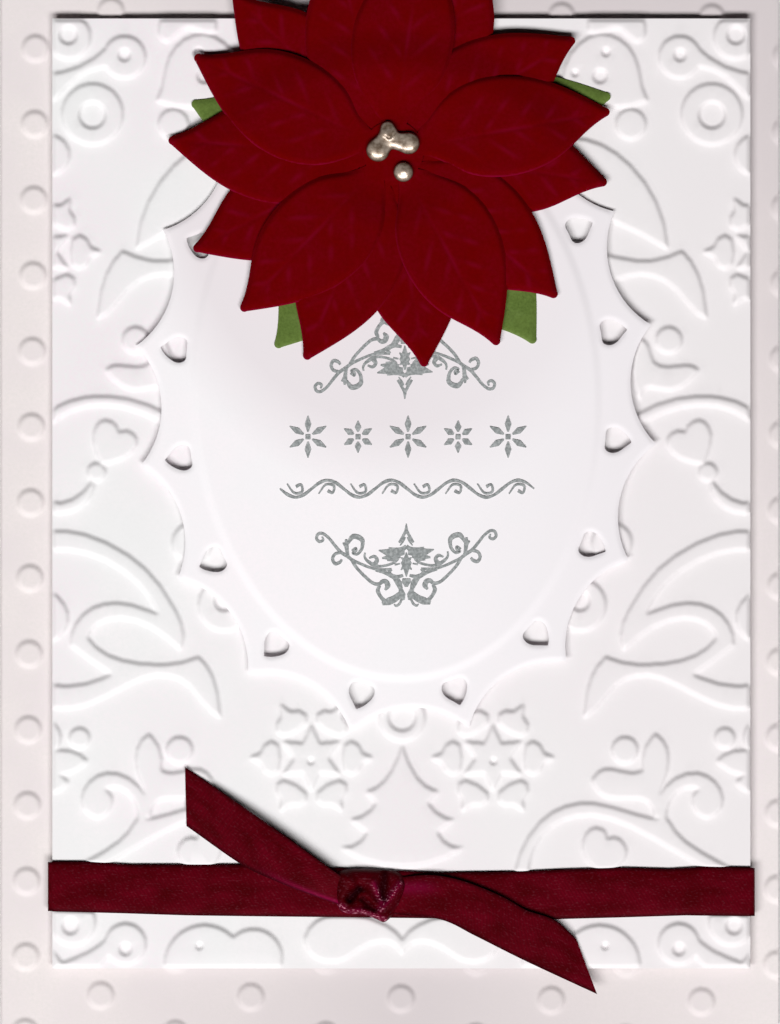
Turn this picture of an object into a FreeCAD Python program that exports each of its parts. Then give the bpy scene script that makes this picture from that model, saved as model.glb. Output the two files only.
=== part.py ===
import FreeCAD, Part
import math
import os

# A handmade greeting card lying on its back leaf with the front leaf up.
# X runs across the card away from its fold, Y up the card, Z out of the front.
# The origin is the middle of the card on the surface that it lies on.

# Card: one folded sheet of card stock
card_width = 105.0
card_height = 148.0
card_stock = 0.3
leaf_gap = 0.4

# Raised dots pressed into the front leaf, in staggered columns
dot_foot_radius = 2.05
dot_top_radius = 1.35
dot_height = 0.35
dot_column_pitch = 10.14
dot_row_pitch = 10.22
dot_turn_deg = -0.6
first_dot_left = 13.5
first_dot_up = 4.1
dot_margin = 2.6

# Foam squares that carry the panel and the label
pad_side = 5.0
pad_height = 1.0
pad_inset = 8.0
pad_clearance = 0.3
label_pad_inset_x = 18.3
label_pad_inset_y = 21.5

# Front panel: a white sheet with a pressed relief, and the borders of card round it
border_left = 7.0
border_right = 3.8
border_top = 12.03
border_bottom = 7.77
panel_stock = 0.3
relief_height = 0.35
relief_flatness = 0.065

# Ribbon: one strip round the panel, knotted in front
ribbon_width = 6.7
ribbon_thickness = 0.15
ribbon_side_gap = 0.3
ribbon_rise = 10.4
knot_left = 4.1
knot_length = 7.6
knot_width = 7.4
knot_height = 1.7
knot_round = 1.2
tail_root_height = 0.57
tail_clearance = 0.12
left_tail_arch = 2.2
right_tail_arch = 0.5

# Oval label with a scalloped edge, holes at the cusps and a raised middle,
# and how far its middle lies from the panel's
label_half_width = 35.3
label_half_height = 46.5
label_stock = 0.3
label_shift_x = -0.72
label_shift_y = 13.3
label_turn_deg = 2.35
scallop_count = 16
scallop_depth = 3.1
hole_inset = 5.2
hole_length = 3.7
hole_width = 3.5
plateau_inset_x = 7.4
plateau_inset_y = 7.6
plateau_height = 0.25

# Flower: five-petal die cuts, centres given from the top of the label
petal_length = 29.7
petal_stock = 0.25
petals_per_layer = 5
petal_tip_margin = 1.0
hub_radius = 4.1
pearl_seat_radius = 4.6
flat_margin = 0.2

# Each layer from the lowest up: name, centre, first petal's angle, rise of its petals
flower_layers = [
    ("green_leaves", (0.84, -15.77), 19.0, 0.2),
    ("petals_lower", (-0.9, -13.37), 351.2, 0.5),
    ("petals_middle", (-1.08, -14.19), 32.0, 0.8),
    ("petals_upper", (-0.39, -13.63), 10.4, 1.1),
]

# Half widths of a petal at stations from its middle to its tip, each side
petal_stations = [0.12, 0.2, 0.3, 0.45, 0.6, 0.75, 0.88, 0.985]
petal_left_half = [1.6, 4.3, 6.4, 7.6, 7.2, 5.5, 3.0, 0.6]
petal_right_half = [1.2, 2.3, 4.5, 6.0, 6.0, 4.6, 2.1, 0.55]

# Pearl drops: place from the upper petals' middle, radius and height
merged_drops = [(-0.69, 2.9, 1.5, 1.35), (-2.17, 0.07, 1.5, 1.3), (2.15, 1.01, 1.5, 1.3)]
merged_bridges = [(-1.4, 1.5, 1.15, 0.9), (0.75, 1.7, 1.15, 0.9)]
single_drop = (1.38, -2.83, 1.35, 1.25)

# The relief is drawn on the panel as the photograph shows it, in its pixels.
# These are the panel's edges and the relief's mirror axis in those pixels.
panel_left_px = 52.2
panel_right_px = 750.5
panel_top_px = 18.5
panel_bottom_px = 968.5
axis_px = 402.2

# Raised round buttons and the dimples pressed back into them: place and radius
raised_discs_px = [
    (736, 37, 22), (680, 57, 21), (712, 114, 30.5), (755, 155, 20), (631, 124, 15),
    (669, 340, 13), (708, 472, 9), (612, 543, 20), (580, 605, 26), (625, 750, 13),
    (725, 738, 10), (600, 965, 40), (679, 944, 20.5), (732, 922, 23), (551, 958, 29),
]
dimples_px = [
    (736, 35, 11), (680, 55, 8), (712, 115, 15.5), (606, 52, 6), (575, 73, 5),
    (600, 76, 9), (580, 601, 12), (605, 946, 5), (679, 949, 8), (734, 926, 10),
]
middle_button_px = (402.2, 718, 23)
middle_dimple_px = (402.2, 717, 16)

# Raised shapes of the right half; runs of points that meet at the corners
corner_band_px = [
    [(696, 46), (706, 55), (722, 65), (738, 71), (756, 74)],
    [(756, 74), (756, 104)],
    [(756, 104), (745, 95), (731, 80), (716, 71), (698, 66)],
    [(698, 66), (696, 46)],
]
top_bracket_px = [
    [(588, 12), (588, 31)],
    [(588, 31), (604, 31), (618, 28), (628, 34), (637, 42)],
    [(637, 42), (644, 38), (645, 25), (644, 12)],
    [(644, 12), (588, 12)],
]
bell_px = [
    [(558, 100), (562, 78), (572, 52), (600, 34), (624, 42), (637, 62), (642, 86), (648, 101)],
    [(648, 101), (628, 106), (594, 107), (558, 100)],
]
wing_px = [
    [(572, 138), (600, 144), (630, 165), (652, 194), (664, 224), (668, 249)],
    [(668, 249), (652, 240), (628, 227), (600, 217), (572, 206)],
    [(572, 206), (572, 138)],
]
tail_leaf_px = [
    [(596, 252), (620, 258), (648, 261), (668, 257), (682, 251)],
    [(682, 251), (694, 266), (703, 290), (707, 319)],
    [(707, 319), (694, 310), (680, 293), (664, 280), (642, 274), (618, 279), (596, 286)],
    [(596, 286), (596, 252)],
]
upper_sprig_px = [
    [(640, 338), (649, 347), (654, 362), (668, 367), (684, 365), (699, 370)],
    [(699, 370), (688, 382), (668, 390), (648, 387), (640, 400)],
    [(640, 400), (632, 372), (640, 338)],
]
upper_arch_px = [
    [(636, 415), (656, 405), (700, 396), (728, 399), (756, 413)],
    [(756, 413), (756, 427)],
    [(756, 427), (728, 409), (702, 405), (660, 414), (636, 427)],
    [(636, 427), (636, 415)],
]
upper_heart_px = [
    [(686, 432), (691, 423), (701, 420), (710, 430), (710, 446), (703, 464)],
    [(703, 464), (688, 461), (672, 452), (667, 441), (674, 432), (686, 432)],
]
swag_px = [
    [(711, 480), (720, 491), (735, 501), (756, 502)],
    [(756, 502), (756, 512)],
    [(756, 512), (732, 511), (716, 500), (711, 480)],
]
dove_px = [
    [(756, 531), (726, 533), (690, 547), (655, 573), (632, 605), (621, 634), (624, 650)],
    [(624, 650), (642, 634), (670, 620), (695, 619), (712, 628), (717, 638)],
    [(717, 638), (697, 655), (662, 664), (630, 664), (606, 657)],
    [(606, 657), (594, 672), (587, 694), (584, 718)],
    [(584, 718), (600, 704), (617, 684), (645, 675), (675, 684), (706, 700), (756, 707)],
    [(756, 707), (756, 685)],
    [(756, 685), (724, 685), (693, 674)],
    [(693, 674), (714, 660), (734, 645)],
    [(734, 645), (730, 626), (712, 608), (688, 603), (662, 608), (646, 614)],
    [(646, 614), (662, 588), (690, 565), (722, 552), (756, 550)],
    [(756, 550), (756, 531)],
]
dove_edge_px = [
    [(756, 592), (742, 602), (736, 618), (742, 634), (756, 643)],
    [(756, 643), (756, 592)],
]
lower_arch_px = [
    [(515, 872), (527, 840), (550, 814), (588, 803), (622, 810), (668, 820)],
    [(668, 820), (685, 841), (706, 855), (736, 872)],
    [(736, 872), (712, 872)],
    [(712, 872), (681, 854), (640, 831), (590, 815), (552, 826), (534, 848), (529, 872)],
    [(529, 872), (515, 872)],
]
scroll_px = [
    [(668, 824), (655, 816)],
    [(655, 816), (658, 797), (673, 780), (697, 773), (717, 784), (723, 801), (708, 818)],
    [(708, 818), (695, 810), (692, 799), (700, 789)],
    [(700, 789), (684, 788), (671, 799), (668, 824)],
]
upright_leaf_px = [
    [(656, 734), (667, 748), (667, 772), (655, 806)],
    [(655, 806), (645, 780), (643, 756), (656, 734)],
]
side_leaf_px = [
    [(592, 780), (612, 769), (630, 773), (646, 768)],
    [(646, 768), (654, 790), (655, 820)],
    [(655, 820), (643, 799), (615, 798), (592, 780)],
]
lower_heart_px = [
    [(607, 839), (602, 829), (593, 828), (584, 838), (586, 858), (604, 872)],
    [(604, 872), (620, 865), (627, 852), (621, 840), (607, 839)],
]
edge_bud_px = [
    [(756, 722), (745, 731), (745, 746), (756, 752)],
    [(756, 752), (756, 722)],
]
edge_leaf_px = [
    [(717, 761), (730, 752), (744, 750), (756, 752)],
    [(756, 752), (756, 774)],
    [(756, 774), (730, 771), (717, 761)],
]
edge_tip_px = [
    [(736, 782), (744, 775), (756, 773)],
    [(756, 773), (756, 793)],
    [(756, 793), (744, 790), (736, 782)],
]
foot_band_px = [
    [(694, 934), (706, 946), (722, 955), (742, 963)],
    [(742, 963), (756, 947)],
    [(756, 947), (756, 975)],
    [(756, 975), (720, 975), (700, 962), (694, 934)],
]
right_half_shapes_px = [
    corner_band_px, top_bracket_px, bell_px, wing_px, tail_leaf_px, upper_sprig_px,
    upper_arch_px, upper_heart_px, swag_px, dove_px, dove_edge_px, lower_arch_px,
    scroll_px, upright_leaf_px, side_leaf_px, lower_heart_px, edge_bud_px,
    edge_leaf_px, edge_tip_px, foot_band_px,
]

# Shapes on the mirror axis, given by their right halves from top to bottom
fir_tree_right_px = [
    [(402.2, 746), (412, 770), (424, 785), (438, 792)],
    [(438, 792), (428, 803)],
    [(428, 803), (438, 814), (454, 820)],
    [(454, 820), (437, 832)],
    [(437, 832), (447, 844), (463, 848)],
    [(463, 848), (436, 861), (402.2, 866)],
]
foot_wave_right_px = [
    [(402.2, 940), (412, 929), (430, 920), (456, 914), (486, 920), (500, 938)],
    [(500, 938), (488, 958), (466, 961), (440, 946), (418, 941), (402.2, 954)],
]

# Snow crystals: centres, then an arrowhead's half and the star in the middle
snow_centres_px = [(493, 758), (765, 252)]
snow_arrow_px = [(31, 0), (33, 13), (40, 17), (47, 13), (51, 5), (62, 0)]
snow_star_outer_px = 33
snow_star_inner_px = 17
snow_arms = 6

# The ribbon's two tails as outlines in the same pixels, each with the two ends
# of its middle line, from the knot to the cut
left_tail_line_px = [(352, 905), (176, 788)]
right_tail_line_px = [(392, 892), (610, 972)]
left_tail_px = [
    [(185, 767), (259.5, 818), (331, 869)],
    [(331, 869), (352, 884)],
    [(352, 884), (352, 910)],
    [(352, 910), (309, 894), (276, 881), (241, 864)],
    [(241, 864), (186.5, 826)],
    [(186.5, 826), (185, 767)],
]
right_tail_px = [
    [(388, 874), (430, 870), (463, 878), (501, 896), (526, 910), (569, 928)],
    [(569, 928), (576, 939)],
    [(576, 939), (597, 994)],
    [(597, 994), (526, 961), (476, 936), (441, 920), (388, 912)],
    [(388, 912), (388, 874)],
]

# Heights of the layers, worked out from the sheets under them
card_thickness = 2 * card_stock + leaf_gap
panel_base = card_thickness + pad_height
panel_face = panel_base + panel_stock
relief_top = panel_face + relief_height
label_base = panel_face + pad_height
label_face = label_base + label_stock
plateau_top = label_face + plateau_height

panel_left = border_left - card_width / 2
panel_right = card_width / 2 - border_right
panel_bottom = border_bottom - card_height / 2
panel_top = card_height / 2 - border_top
panel_x = (panel_left + panel_right) / 2
panel_y = (panel_bottom + panel_top) / 2
label_x = panel_x + label_shift_x
label_y = panel_y + label_shift_y
label_top = label_y + label_half_height
ribbon_y = panel_bottom + ribbon_rise
px_x = (panel_right - panel_left) / (panel_right_px - panel_left_px)
px_y = (panel_top - panel_bottom) / (panel_bottom_px - panel_top_px)

up = FreeCAD.Vector(0, 0, 1)


def point(x, y, z=0.0):
    return FreeCAD.Vector(x, y, z)


def on_panel(px, z):
    # A pixel of the photograph as a place on the panel, at height z.
    x = panel_left + (px[0] - panel_left_px) * px_x
    y = panel_top - (px[1] - panel_top_px) * px_y
    return point(x, y, z)


def line(start, end):
    return Part.LineSegment(start, end).toShape()


def spline(points):
    # A smooth curve through the points.
    curve = Part.BSplineCurve()
    curve.interpolate(points)
    return curve


def plate(edges, height):
    return Part.Face(Part.Wire(edges)).extrude(up * height)


def panel_plate(runs_px, z, height):
    # A closed outline in pixels as a flat plate on the panel. Each curved run becomes
    # short straight sides that leave its curve by no more than relief_flatness.
    corners = []
    for run in runs_px:
        places = [on_panel(px, z) for px in run]
        if len(places) > 2:
            places = spline(places).discretize(Deflection=relief_flatness)
        corners += places[:-1]
    return plate([Part.makePolygon(corners + corners[:1])], height)


def mirrored_px(runs_px):
    return [[(2 * axis_px - x, y) for x, y in run] for run in runs_px]


def on_axis_px(right_runs_px):
    # Closes a right half with its mirror image across the relief's axis.
    left_runs = [run[::-1] for run in mirrored_px(right_runs_px)[::-1]]
    return right_runs_px + left_runs


def panel_disc(disc_px, z, height):
    centre = on_panel((disc_px[0], disc_px[1]), z)
    return Part.makeCylinder(disc_px[2] * px_x, height, centre)


def save(name, shape):
    shape = shape.removeSplitter() if len(shape.Solids) == 1 else shape
    if len(shape.Solids) == 1:
        shape = shape.Solids[0]
    shape.exportStep("parts/%s.step" % name)
    print(name, len(shape.Solids), shape.isValid(), round(shape.Volume, 2))


def card_base():
    # Two leaves joined by a rounded fold at the left; the dots stand on the front leaf.
    outer = card_thickness / 2
    inner = leaf_gap / 2
    left = -card_width / 2
    right = card_width / 2
    bend_x = left + outer
    low = -card_height / 2
    front_under = card_thickness - card_stock

    def place(x, z):
        return point(x, low, z)

    fold_out = Part.Arc(place(bend_x, card_thickness), place(left, outer), place(bend_x, 0))
    fold_in = Part.Arc(place(bend_x, card_stock), place(bend_x - inner, outer), place(bend_x, front_under))
    edges = [
        fold_out.toShape(),
        line(place(bend_x, 0), place(right, 0)),
        line(place(right, 0), place(right, card_stock)),
        line(place(right, card_stock), place(bend_x, card_stock)),
        fold_in.toShape(),
        line(place(bend_x, front_under), place(right, front_under)),
        line(place(right, front_under), place(right, card_thickness)),
        line(place(right, card_thickness), place(bend_x, card_thickness)),
    ]
    sheet = Part.Face(Part.Wire(edges)).extrude(point(0, card_height, 0))
    dots = front_dots(bend_x, right)
    return sheet.multiFuse(dots)


def front_dots(left, right):
    # The columns run over the whole leaf; only dots that the panel leaves in sight are raised.
    turn = math.radians(dot_turn_deg)
    start_x = -card_width / 2 + first_dot_left
    start_y = -card_height / 2 + first_dot_up
    columns = math.ceil(card_width / dot_column_pitch)
    rows = math.ceil(card_height / dot_row_pitch)
    field = Part.makeBox(right - left, card_height, dot_height, point(left, -card_height / 2, card_thickness))
    dots = []
    for column in range(-columns, columns + 1):
        for row in range(-rows, rows + 1):
            along = column * dot_column_pitch
            rise = (row + 0.5 * (column % 2)) * dot_row_pitch
            x = start_x + along * math.cos(turn) - rise * math.sin(turn)
            y = start_y + along * math.sin(turn) + rise * math.cos(turn)
            under_x = panel_left + dot_margin < x < panel_right - dot_margin
            under_y = panel_bottom + dot_margin < y < panel_top - dot_margin
            inside_x = abs(x) < card_width / 2 + dot_foot_radius
            inside_y = abs(y) < card_height / 2 + dot_foot_radius
            if (under_x and under_y) or not (inside_x and inside_y):
                continue
            dot = Part.makeCone(dot_foot_radius, dot_top_radius, dot_height, point(x, y, card_thickness))
            if abs(x) + dot_foot_radius > right or abs(y) + dot_foot_radius > card_height / 2:
                dot = dot.common(field)
            dots.append(dot)
    return dots


def square_block(x, y, z, clearance=0.0):
    # A foam square on its place, or the room for it with a clearance all round.
    side = pad_side + 2 * clearance
    return Part.makeBox(side, side, pad_height, point(x - side / 2, y - side / 2, z))


def panel_pads():
    # Two columns of three pads; the lowest row stays above the ribbon's back run.
    lowest = ribbon_y + ribbon_width / 2 + pad_side
    highest = panel_top - pad_inset
    pads = []
    for x in (panel_left + pad_inset, panel_right - pad_inset):
        for y in (highest, (highest + lowest) / 2, lowest):
            pads.append(square_block(x, y, card_thickness))
    return pads


def label_pad_places():
    places = []
    for side in (-1, 1):
        for level in (-1, 1):
            x = label_x + side * (label_half_width - label_pad_inset_x)
            y = label_y + level * (label_half_height - label_pad_inset_y)
            places.append((x, y))
    return places


def snow_crystal(centre_px, z, height):
    # Six arrowheads pointing out round a six-pointed star.
    half = snow_arrow_px[::-1]
    arrow = half + [(along, -across) for along, across in snow_arrow_px[1:-1]]
    pieces = []
    for arm in range(snow_arms):
        turn = 2 * math.pi * arm / snow_arms
        corners = []
        for along, across in arrow:
            x = centre_px[0] + along * math.cos(turn) - across * math.sin(turn)
            y = centre_px[1] + along * math.sin(turn) + across * math.cos(turn)
            corners.append(on_panel((x, y), z))
        pieces.append(plate([Part.makePolygon(corners + corners[:1])], height))
    corners = []
    for step in range(2 * snow_arms):
        turn = math.pi * step / snow_arms
        reach = snow_star_outer_px if step % 2 else snow_star_inner_px
        px = (centre_px[0] + reach * math.cos(turn), centre_px[1] + reach * math.sin(turn))
        corners.append(on_panel(px, z))
    pieces.append(plate([Part.makePolygon(corners + corners[:1])], height))
    return pieces


def front_panel():
    # The relief stops round the label's foam squares, which need the flat sheet.
    width = panel_right - panel_left
    height = panel_top - panel_bottom
    sheet = Part.makeBox(width, height, panel_stock, point(panel_left, panel_bottom, panel_base))
    raised = []
    for runs_px in right_half_shapes_px:
        raised.append(panel_plate(runs_px, panel_face, relief_height))
        raised.append(panel_plate(mirrored_px(runs_px), panel_face, relief_height))
    for runs_px in (fir_tree_right_px, foot_wave_right_px):
        raised.append(panel_plate(on_axis_px(runs_px), panel_face, relief_height))
    for x, y, radius in raised_discs_px:
        raised.append(panel_disc((x, y, radius), panel_face, relief_height))
        raised.append(panel_disc((2 * axis_px - x, y, radius), panel_face, relief_height))
    raised.append(panel_disc(middle_button_px, panel_face, relief_height))
    for x, y in snow_centres_px:
        raised += snow_crystal((x, y), panel_face, relief_height)
        raised += snow_crystal((2 * axis_px - x, y), panel_face, relief_height)
    dimples = [panel_disc(middle_dimple_px, panel_face, relief_height)]
    for x, y, radius in dimples_px:
        dimples.append(panel_disc((x, y, radius), panel_face, relief_height))
        dimples.append(panel_disc((2 * axis_px - x, y, radius), panel_face, relief_height))
    block = Part.makeBox(width, height, relief_height, point(panel_left, panel_bottom, panel_face))
    seats = [square_block(x, y, panel_face, pad_clearance) for x, y in label_pad_places()]
    relief = raised[0].multiFuse(raised[1:]).cut(Part.Compound(dimples)).common(block)
    return sheet.fuse(relief.cut(Part.Compound(seats)))


def even_angles(half_width, half_height, count):
    # Angles of an ellipse that part its rim into equal lengths, half a step from its ends.
    steps = 1440
    lengths = [0.0]
    for step in range(steps):
        angle = 2 * math.pi * (step + 0.5) / steps
        speed = math.hypot(half_width * math.sin(angle), half_height * math.cos(angle))
        lengths.append(lengths[-1] + speed)
    angles = []
    step = 0
    for number in range(count):
        target = lengths[-1] * (number + 0.5) / count
        while lengths[step + 1] < target:
            step += 1
        part_step = (target - lengths[step]) / (lengths[step + 1] - lengths[step])
        angles.append(2 * math.pi * (step + part_step) / steps)
    return angles


def label_hole(x, y, out_angle):
    # A rounded heart-like hole whose point faces out to the cusp.
    long_half = hole_length / 2
    wide_half = hole_width / 2
    profile = [(1.0, 0.0), (0.86, 0.22), (0.25, 0.78), (-0.35, 1.0), (-0.86, 0.72), (-0.9, 0.28)]
    mirror = [(along, -across) for along, across in profile[:0:-1]]
    points = []
    for along, across in profile + mirror:
        forward = along * long_half
        side = across * wide_half
        px = x + forward * math.cos(out_angle) - side * math.sin(out_angle)
        py = y + forward * math.sin(out_angle) + side * math.cos(out_angle)
        points.append(point(px, py, label_base))
    rim = Part.BSplineCurve()
    rim.interpolate(Points=points, PeriodicFlag=True)
    return plate([rim.toShape()], label_stock)


def oval_label():
    cusps = []
    holes = []
    for angle in even_angles(label_half_width, label_half_height, scallop_count):
        x = label_half_width * math.cos(angle)
        y = label_half_height * math.sin(angle)
        out_angle = math.atan2(label_half_width * math.sin(angle), label_half_height * math.cos(angle))
        cusps.append(point(x, y, label_base))
        hole_x = x - hole_inset * math.cos(out_angle)
        hole_y = y - hole_inset * math.sin(out_angle)
        holes.append(label_hole(hole_x, hole_y, out_angle))
    edges = []
    for number in range(scallop_count):
        start = cusps[number]
        end = cusps[(number + 1) % scallop_count]
        middle = (start + end) * 0.5
        inward = point(-middle.x, -middle.y).normalize()
        edges.append(Part.Arc(start, middle + inward * scallop_depth, end).toShape())
    sheet = plate(edges, label_stock).cut(Part.Compound(holes))
    rim = Part.Ellipse(
        point(0, label_half_height - plateau_inset_y, label_face),
        point(label_half_width - plateau_inset_x, 0, label_face),
        point(0, 0, label_face),
    )
    label = sheet.fuse(plate([rim.toShape()], plateau_height))
    label.rotate(point(0, 0), up, label_turn_deg)
    label.translate(point(label_x, label_y))
    return label


def petal_edges():
    # One petal along +X from the flower's middle, with a small round tip.
    left = [point(petal_length * s, half) for s, half in zip(petal_stations, petal_left_half)]
    right = [point(petal_length * s, -half) for s, half in zip(petal_stations, petal_right_half)]
    tip = Part.Arc(left[-1], point(petal_length, 0), right[-1]).toShape()
    left_side = spline(left).toShape()
    right_side = spline(right[::-1]).toShape()
    return [line(point(0, 0), left[0]), left_side, tip, right_side, line(right[0], point(0, 0))]


def petal_layer(centre, first_angle, rise_deg, flat_radius, z):
    # A five-petal sheet, flat in the middle and rising as a shallow cone outside it.
    reach = petal_length + petal_tip_margin
    lift = (reach - flat_radius) * math.tan(math.radians(rise_deg))
    section = Part.makePolygon([
        point(0, 0, 0), point(flat_radius, 0, 0), point(reach, 0, lift),
        point(reach, 0, lift + petal_stock), point(flat_radius, 0, petal_stock),
        point(0, 0, petal_stock), point(0, 0, 0),
    ])
    dish = Part.Face(section).revolve(point(0, 0), up, 360)
    tall = lift + petal_stock
    petal = plate(petal_edges(), tall)
    petals = []
    for number in range(petals_per_layer):
        copy = petal.copy()
        copy.rotate(point(0, 0), up, first_angle + 360.0 * number / petals_per_layer)
        petals.append(copy)
    hub = Part.makeCylinder(hub_radius, tall)
    layer = hub.multiFuse(petals).common(dish)
    layer.translate(point(label_x + centre[0], label_top + centre[1], z))
    return layer


def flower_flats():
    # The flat middle of each layer clears the rise of the layer under it.
    radius = pearl_seat_radius
    flats = [radius]
    for lower, upper in zip(flower_layers[-2::-1], flower_layers[:0:-1]):
        radius += math.dist(lower[1], upper[1]) + flat_margin
        flats.insert(0, radius)
    return flats


def drop(x, y, radius, height, z):
    # A drop of pearl paint: the cap of a ball, standing on its flat cut.
    ball_radius = (radius ** 2 + height ** 2) / (2 * height)
    centre_x = label_x + flower_layers[-1][1][0] + x
    centre_y = label_top + flower_layers[-1][1][1] + y
    ball = Part.makeSphere(ball_radius, point(centre_x, centre_y, z + height - ball_radius))
    corner = point(centre_x - 2 * ball_radius, centre_y - 2 * ball_radius, z)
    return ball.common(Part.makeBox(4 * ball_radius, 4 * ball_radius, 2 * ball_radius, corner))


def arched_tail(runs_px, line_px, start_z, end_z, arch):
    # A strip that leaves the knot, arches over the panel and comes down at its cut end.
    start = on_panel(line_px[0], start_z)
    end = on_panel(line_px[1], end_z)
    top = (start + end) * 0.5 + up * arch
    under = Part.Arc(start, top, end).toShape()
    lifted = up * ribbon_thickness
    over = Part.Arc(end + lifted, top + lifted, start + lifted).toShape()
    along = end - start
    across = point(-along.y, along.x).normalize()
    section = Part.Face(Part.Wire([under, line(end, end + lifted), over, line(start + lifted, start)]))
    section.translate(across * -2 * ribbon_width)
    band = section.extrude(across * 4 * ribbon_width)
    column = panel_plate(runs_px, panel_base, relief_top - panel_base + knot_height + arch)
    return band.common(column)


def ribbon():
    # One strip: a band round the panel, a knot on it and two loose tails.
    low = panel_base - ribbon_thickness
    high = relief_top + ribbon_thickness
    left = panel_left - ribbon_side_gap
    right = panel_right + ribbon_side_gap
    front = ribbon_y - ribbon_width / 2
    outer = Part.makeBox(
        right - left + 2 * ribbon_thickness, ribbon_width, high - low,
        point(left - ribbon_thickness, front, low),
    )
    inner = Part.makeBox(right - left, ribbon_width, relief_top - panel_base, point(left, front, panel_base))
    band = outer.cut(inner)
    knot_x = panel_x - knot_left
    knot = Part.makeBox(
        knot_length, knot_width, knot_height,
        point(knot_x - knot_length / 2, ribbon_y - knot_width / 2, high),
    )
    top_edges = [edge for edge in knot.Edges if edge.BoundBox.ZMax > high + knot_height / 2]
    knot = knot.makeFillet(knot_round, top_edges)
    root = high + tail_root_height
    left_rest = relief_top + tail_clearance
    right_rest = high + tail_clearance
    left_tail = arched_tail(left_tail_px, left_tail_line_px, root, left_rest, left_tail_arch)
    right_tail = arched_tail(right_tail_px, right_tail_line_px, root, right_rest, right_tail_arch)
    return band.multiFuse([knot, left_tail, right_tail])


os.makedirs("parts", exist_ok=True)

save("card_base", card_base())
for number, pad in enumerate(panel_pads(), start=1):
    save("panel_pad_%d" % number, pad)
save("front_panel", front_panel())
save("ribbon", ribbon())
for number, (x, y) in enumerate(label_pad_places(), start=1):
    save("label_pad_%d" % number, square_block(x, y, panel_face))
save("oval_label", oval_label())

layer_z = plateau_top
for (name, centre, first_angle, rise_deg), flat_radius in zip(flower_layers, flower_flats()):
    save(name, petal_layer(centre, first_angle, rise_deg, flat_radius, layer_z))
    layer_z += petal_stock

drops = [drop(x, y, radius, height, layer_z) for x, y, radius, height in merged_drops + merged_bridges]
save("pearl_drop_cluster", drops[0].multiFuse(drops[1:]))
save("pearl_drop_single", drop(*single_drop, layer_z))
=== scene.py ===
import math
import bpy
import numpy as np
from mathutils.geometry import delaunay_2d_cdt
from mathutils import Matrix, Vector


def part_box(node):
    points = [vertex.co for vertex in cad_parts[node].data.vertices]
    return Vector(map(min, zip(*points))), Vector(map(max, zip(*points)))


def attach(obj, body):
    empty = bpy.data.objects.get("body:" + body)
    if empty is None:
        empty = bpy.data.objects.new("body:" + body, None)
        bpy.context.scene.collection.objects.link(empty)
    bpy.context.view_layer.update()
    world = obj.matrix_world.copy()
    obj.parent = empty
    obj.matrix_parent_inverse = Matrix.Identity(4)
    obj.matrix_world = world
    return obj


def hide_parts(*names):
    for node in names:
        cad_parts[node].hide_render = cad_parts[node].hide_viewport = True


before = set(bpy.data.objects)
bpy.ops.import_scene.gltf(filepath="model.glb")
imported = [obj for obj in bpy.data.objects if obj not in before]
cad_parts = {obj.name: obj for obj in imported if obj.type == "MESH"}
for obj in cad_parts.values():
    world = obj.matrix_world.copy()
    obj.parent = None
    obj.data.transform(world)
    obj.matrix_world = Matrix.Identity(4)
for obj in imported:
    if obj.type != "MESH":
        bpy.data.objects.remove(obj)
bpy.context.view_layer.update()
mm = 0.001

# The photograph: a view straight down, 778 pixels across the card's 105 mm.
photo = {"width": 780, "height": 1024, "mmPerPx": 105.0 / 778.0, "zeroX": 389.5, "zeroY": 477.7}

# Heights of the card's layers in mm, the same as the solids have.
level = {"panelBase": 2.0, "panelFace": 2.3, "reliefTop": 2.65, "bandTop": 2.8, "labelBase": 3.3,
         "labelFace": 3.6, "plateauTop": 3.85, "petals": 3.85, "pearls": 4.85}


def onCard(px):
    # Pixels of the photograph as mm right of and above the card's middle.
    p = np.asarray(px, float)
    return np.stack([p[..., 0] - photo["zeroX"], photo["zeroY"] - p[..., 1]], -1) * photo["mmPerPx"]


camera = {"distance": 3.0, "sensor": 24.0, "focusHeight": 2.3, "clip": (0.05, 50.0)}
light = {"world": 0.004, "glossy": 0.2, "backdrop": 0.9, "place": (-0.33, -1.32, 2.25), "length": 3.1,
         "width": 0.85, "white": 1.275}


def makeCamera():
    middle = onCard((photo["width"] / 2, photo["height"] / 2)) * mm
    data = bpy.data.cameras.new("camera")
    data.sensor_fit = "VERTICAL"
    data.sensor_height = camera["sensor"]
    frameHeight = photo["height"] * photo["mmPerPx"] * mm
    data.lens = camera["sensor"] * camera["distance"] / frameHeight
    data.clip_start, data.clip_end = camera["clip"]
    eye = bpy.data.objects.new("camera", data)
    eye.location = (middle[0], middle[1], camera["distance"] + camera["focusHeight"] * mm)
    bpy.context.collection.objects.link(eye)
    bpy.context.scene.camera = eye


def makeLights():
    # A scanner's tube: a long lamp below the picture, so that upper edges have dark shadows and
    # side edges soft ones. Its power comes from the brightness that it gives white card.
    x, y, z = light["place"]
    data = bpy.data.lights.new("lamp_tube", "AREA")
    data.shape = "RECTANGLE"
    data.size, data.size_y = light["length"], light["width"]
    data.energy = math.pi ** 2 * light["white"] * math.hypot(x, y, z) ** 3 / z
    lamp = bpy.data.objects.new("lamp_tube", data)
    lamp.location = light["place"]
    lamp.rotation_euler = (math.atan2(-y, z), 0.0, 0.0)
    bpy.context.collection.objects.link(lamp)


def hexColour(code):
    # An sRGB hex value as a linear colour.
    c = np.array([int(code[i:i + 2], 16) for i in (1, 3, 5)]) / 255.0
    linear = np.where(c <= 0.04045, c / 12.92, ((c + 0.055) / 1.055) ** 2.4)
    return (*linear.tolist(), 1.0)


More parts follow.
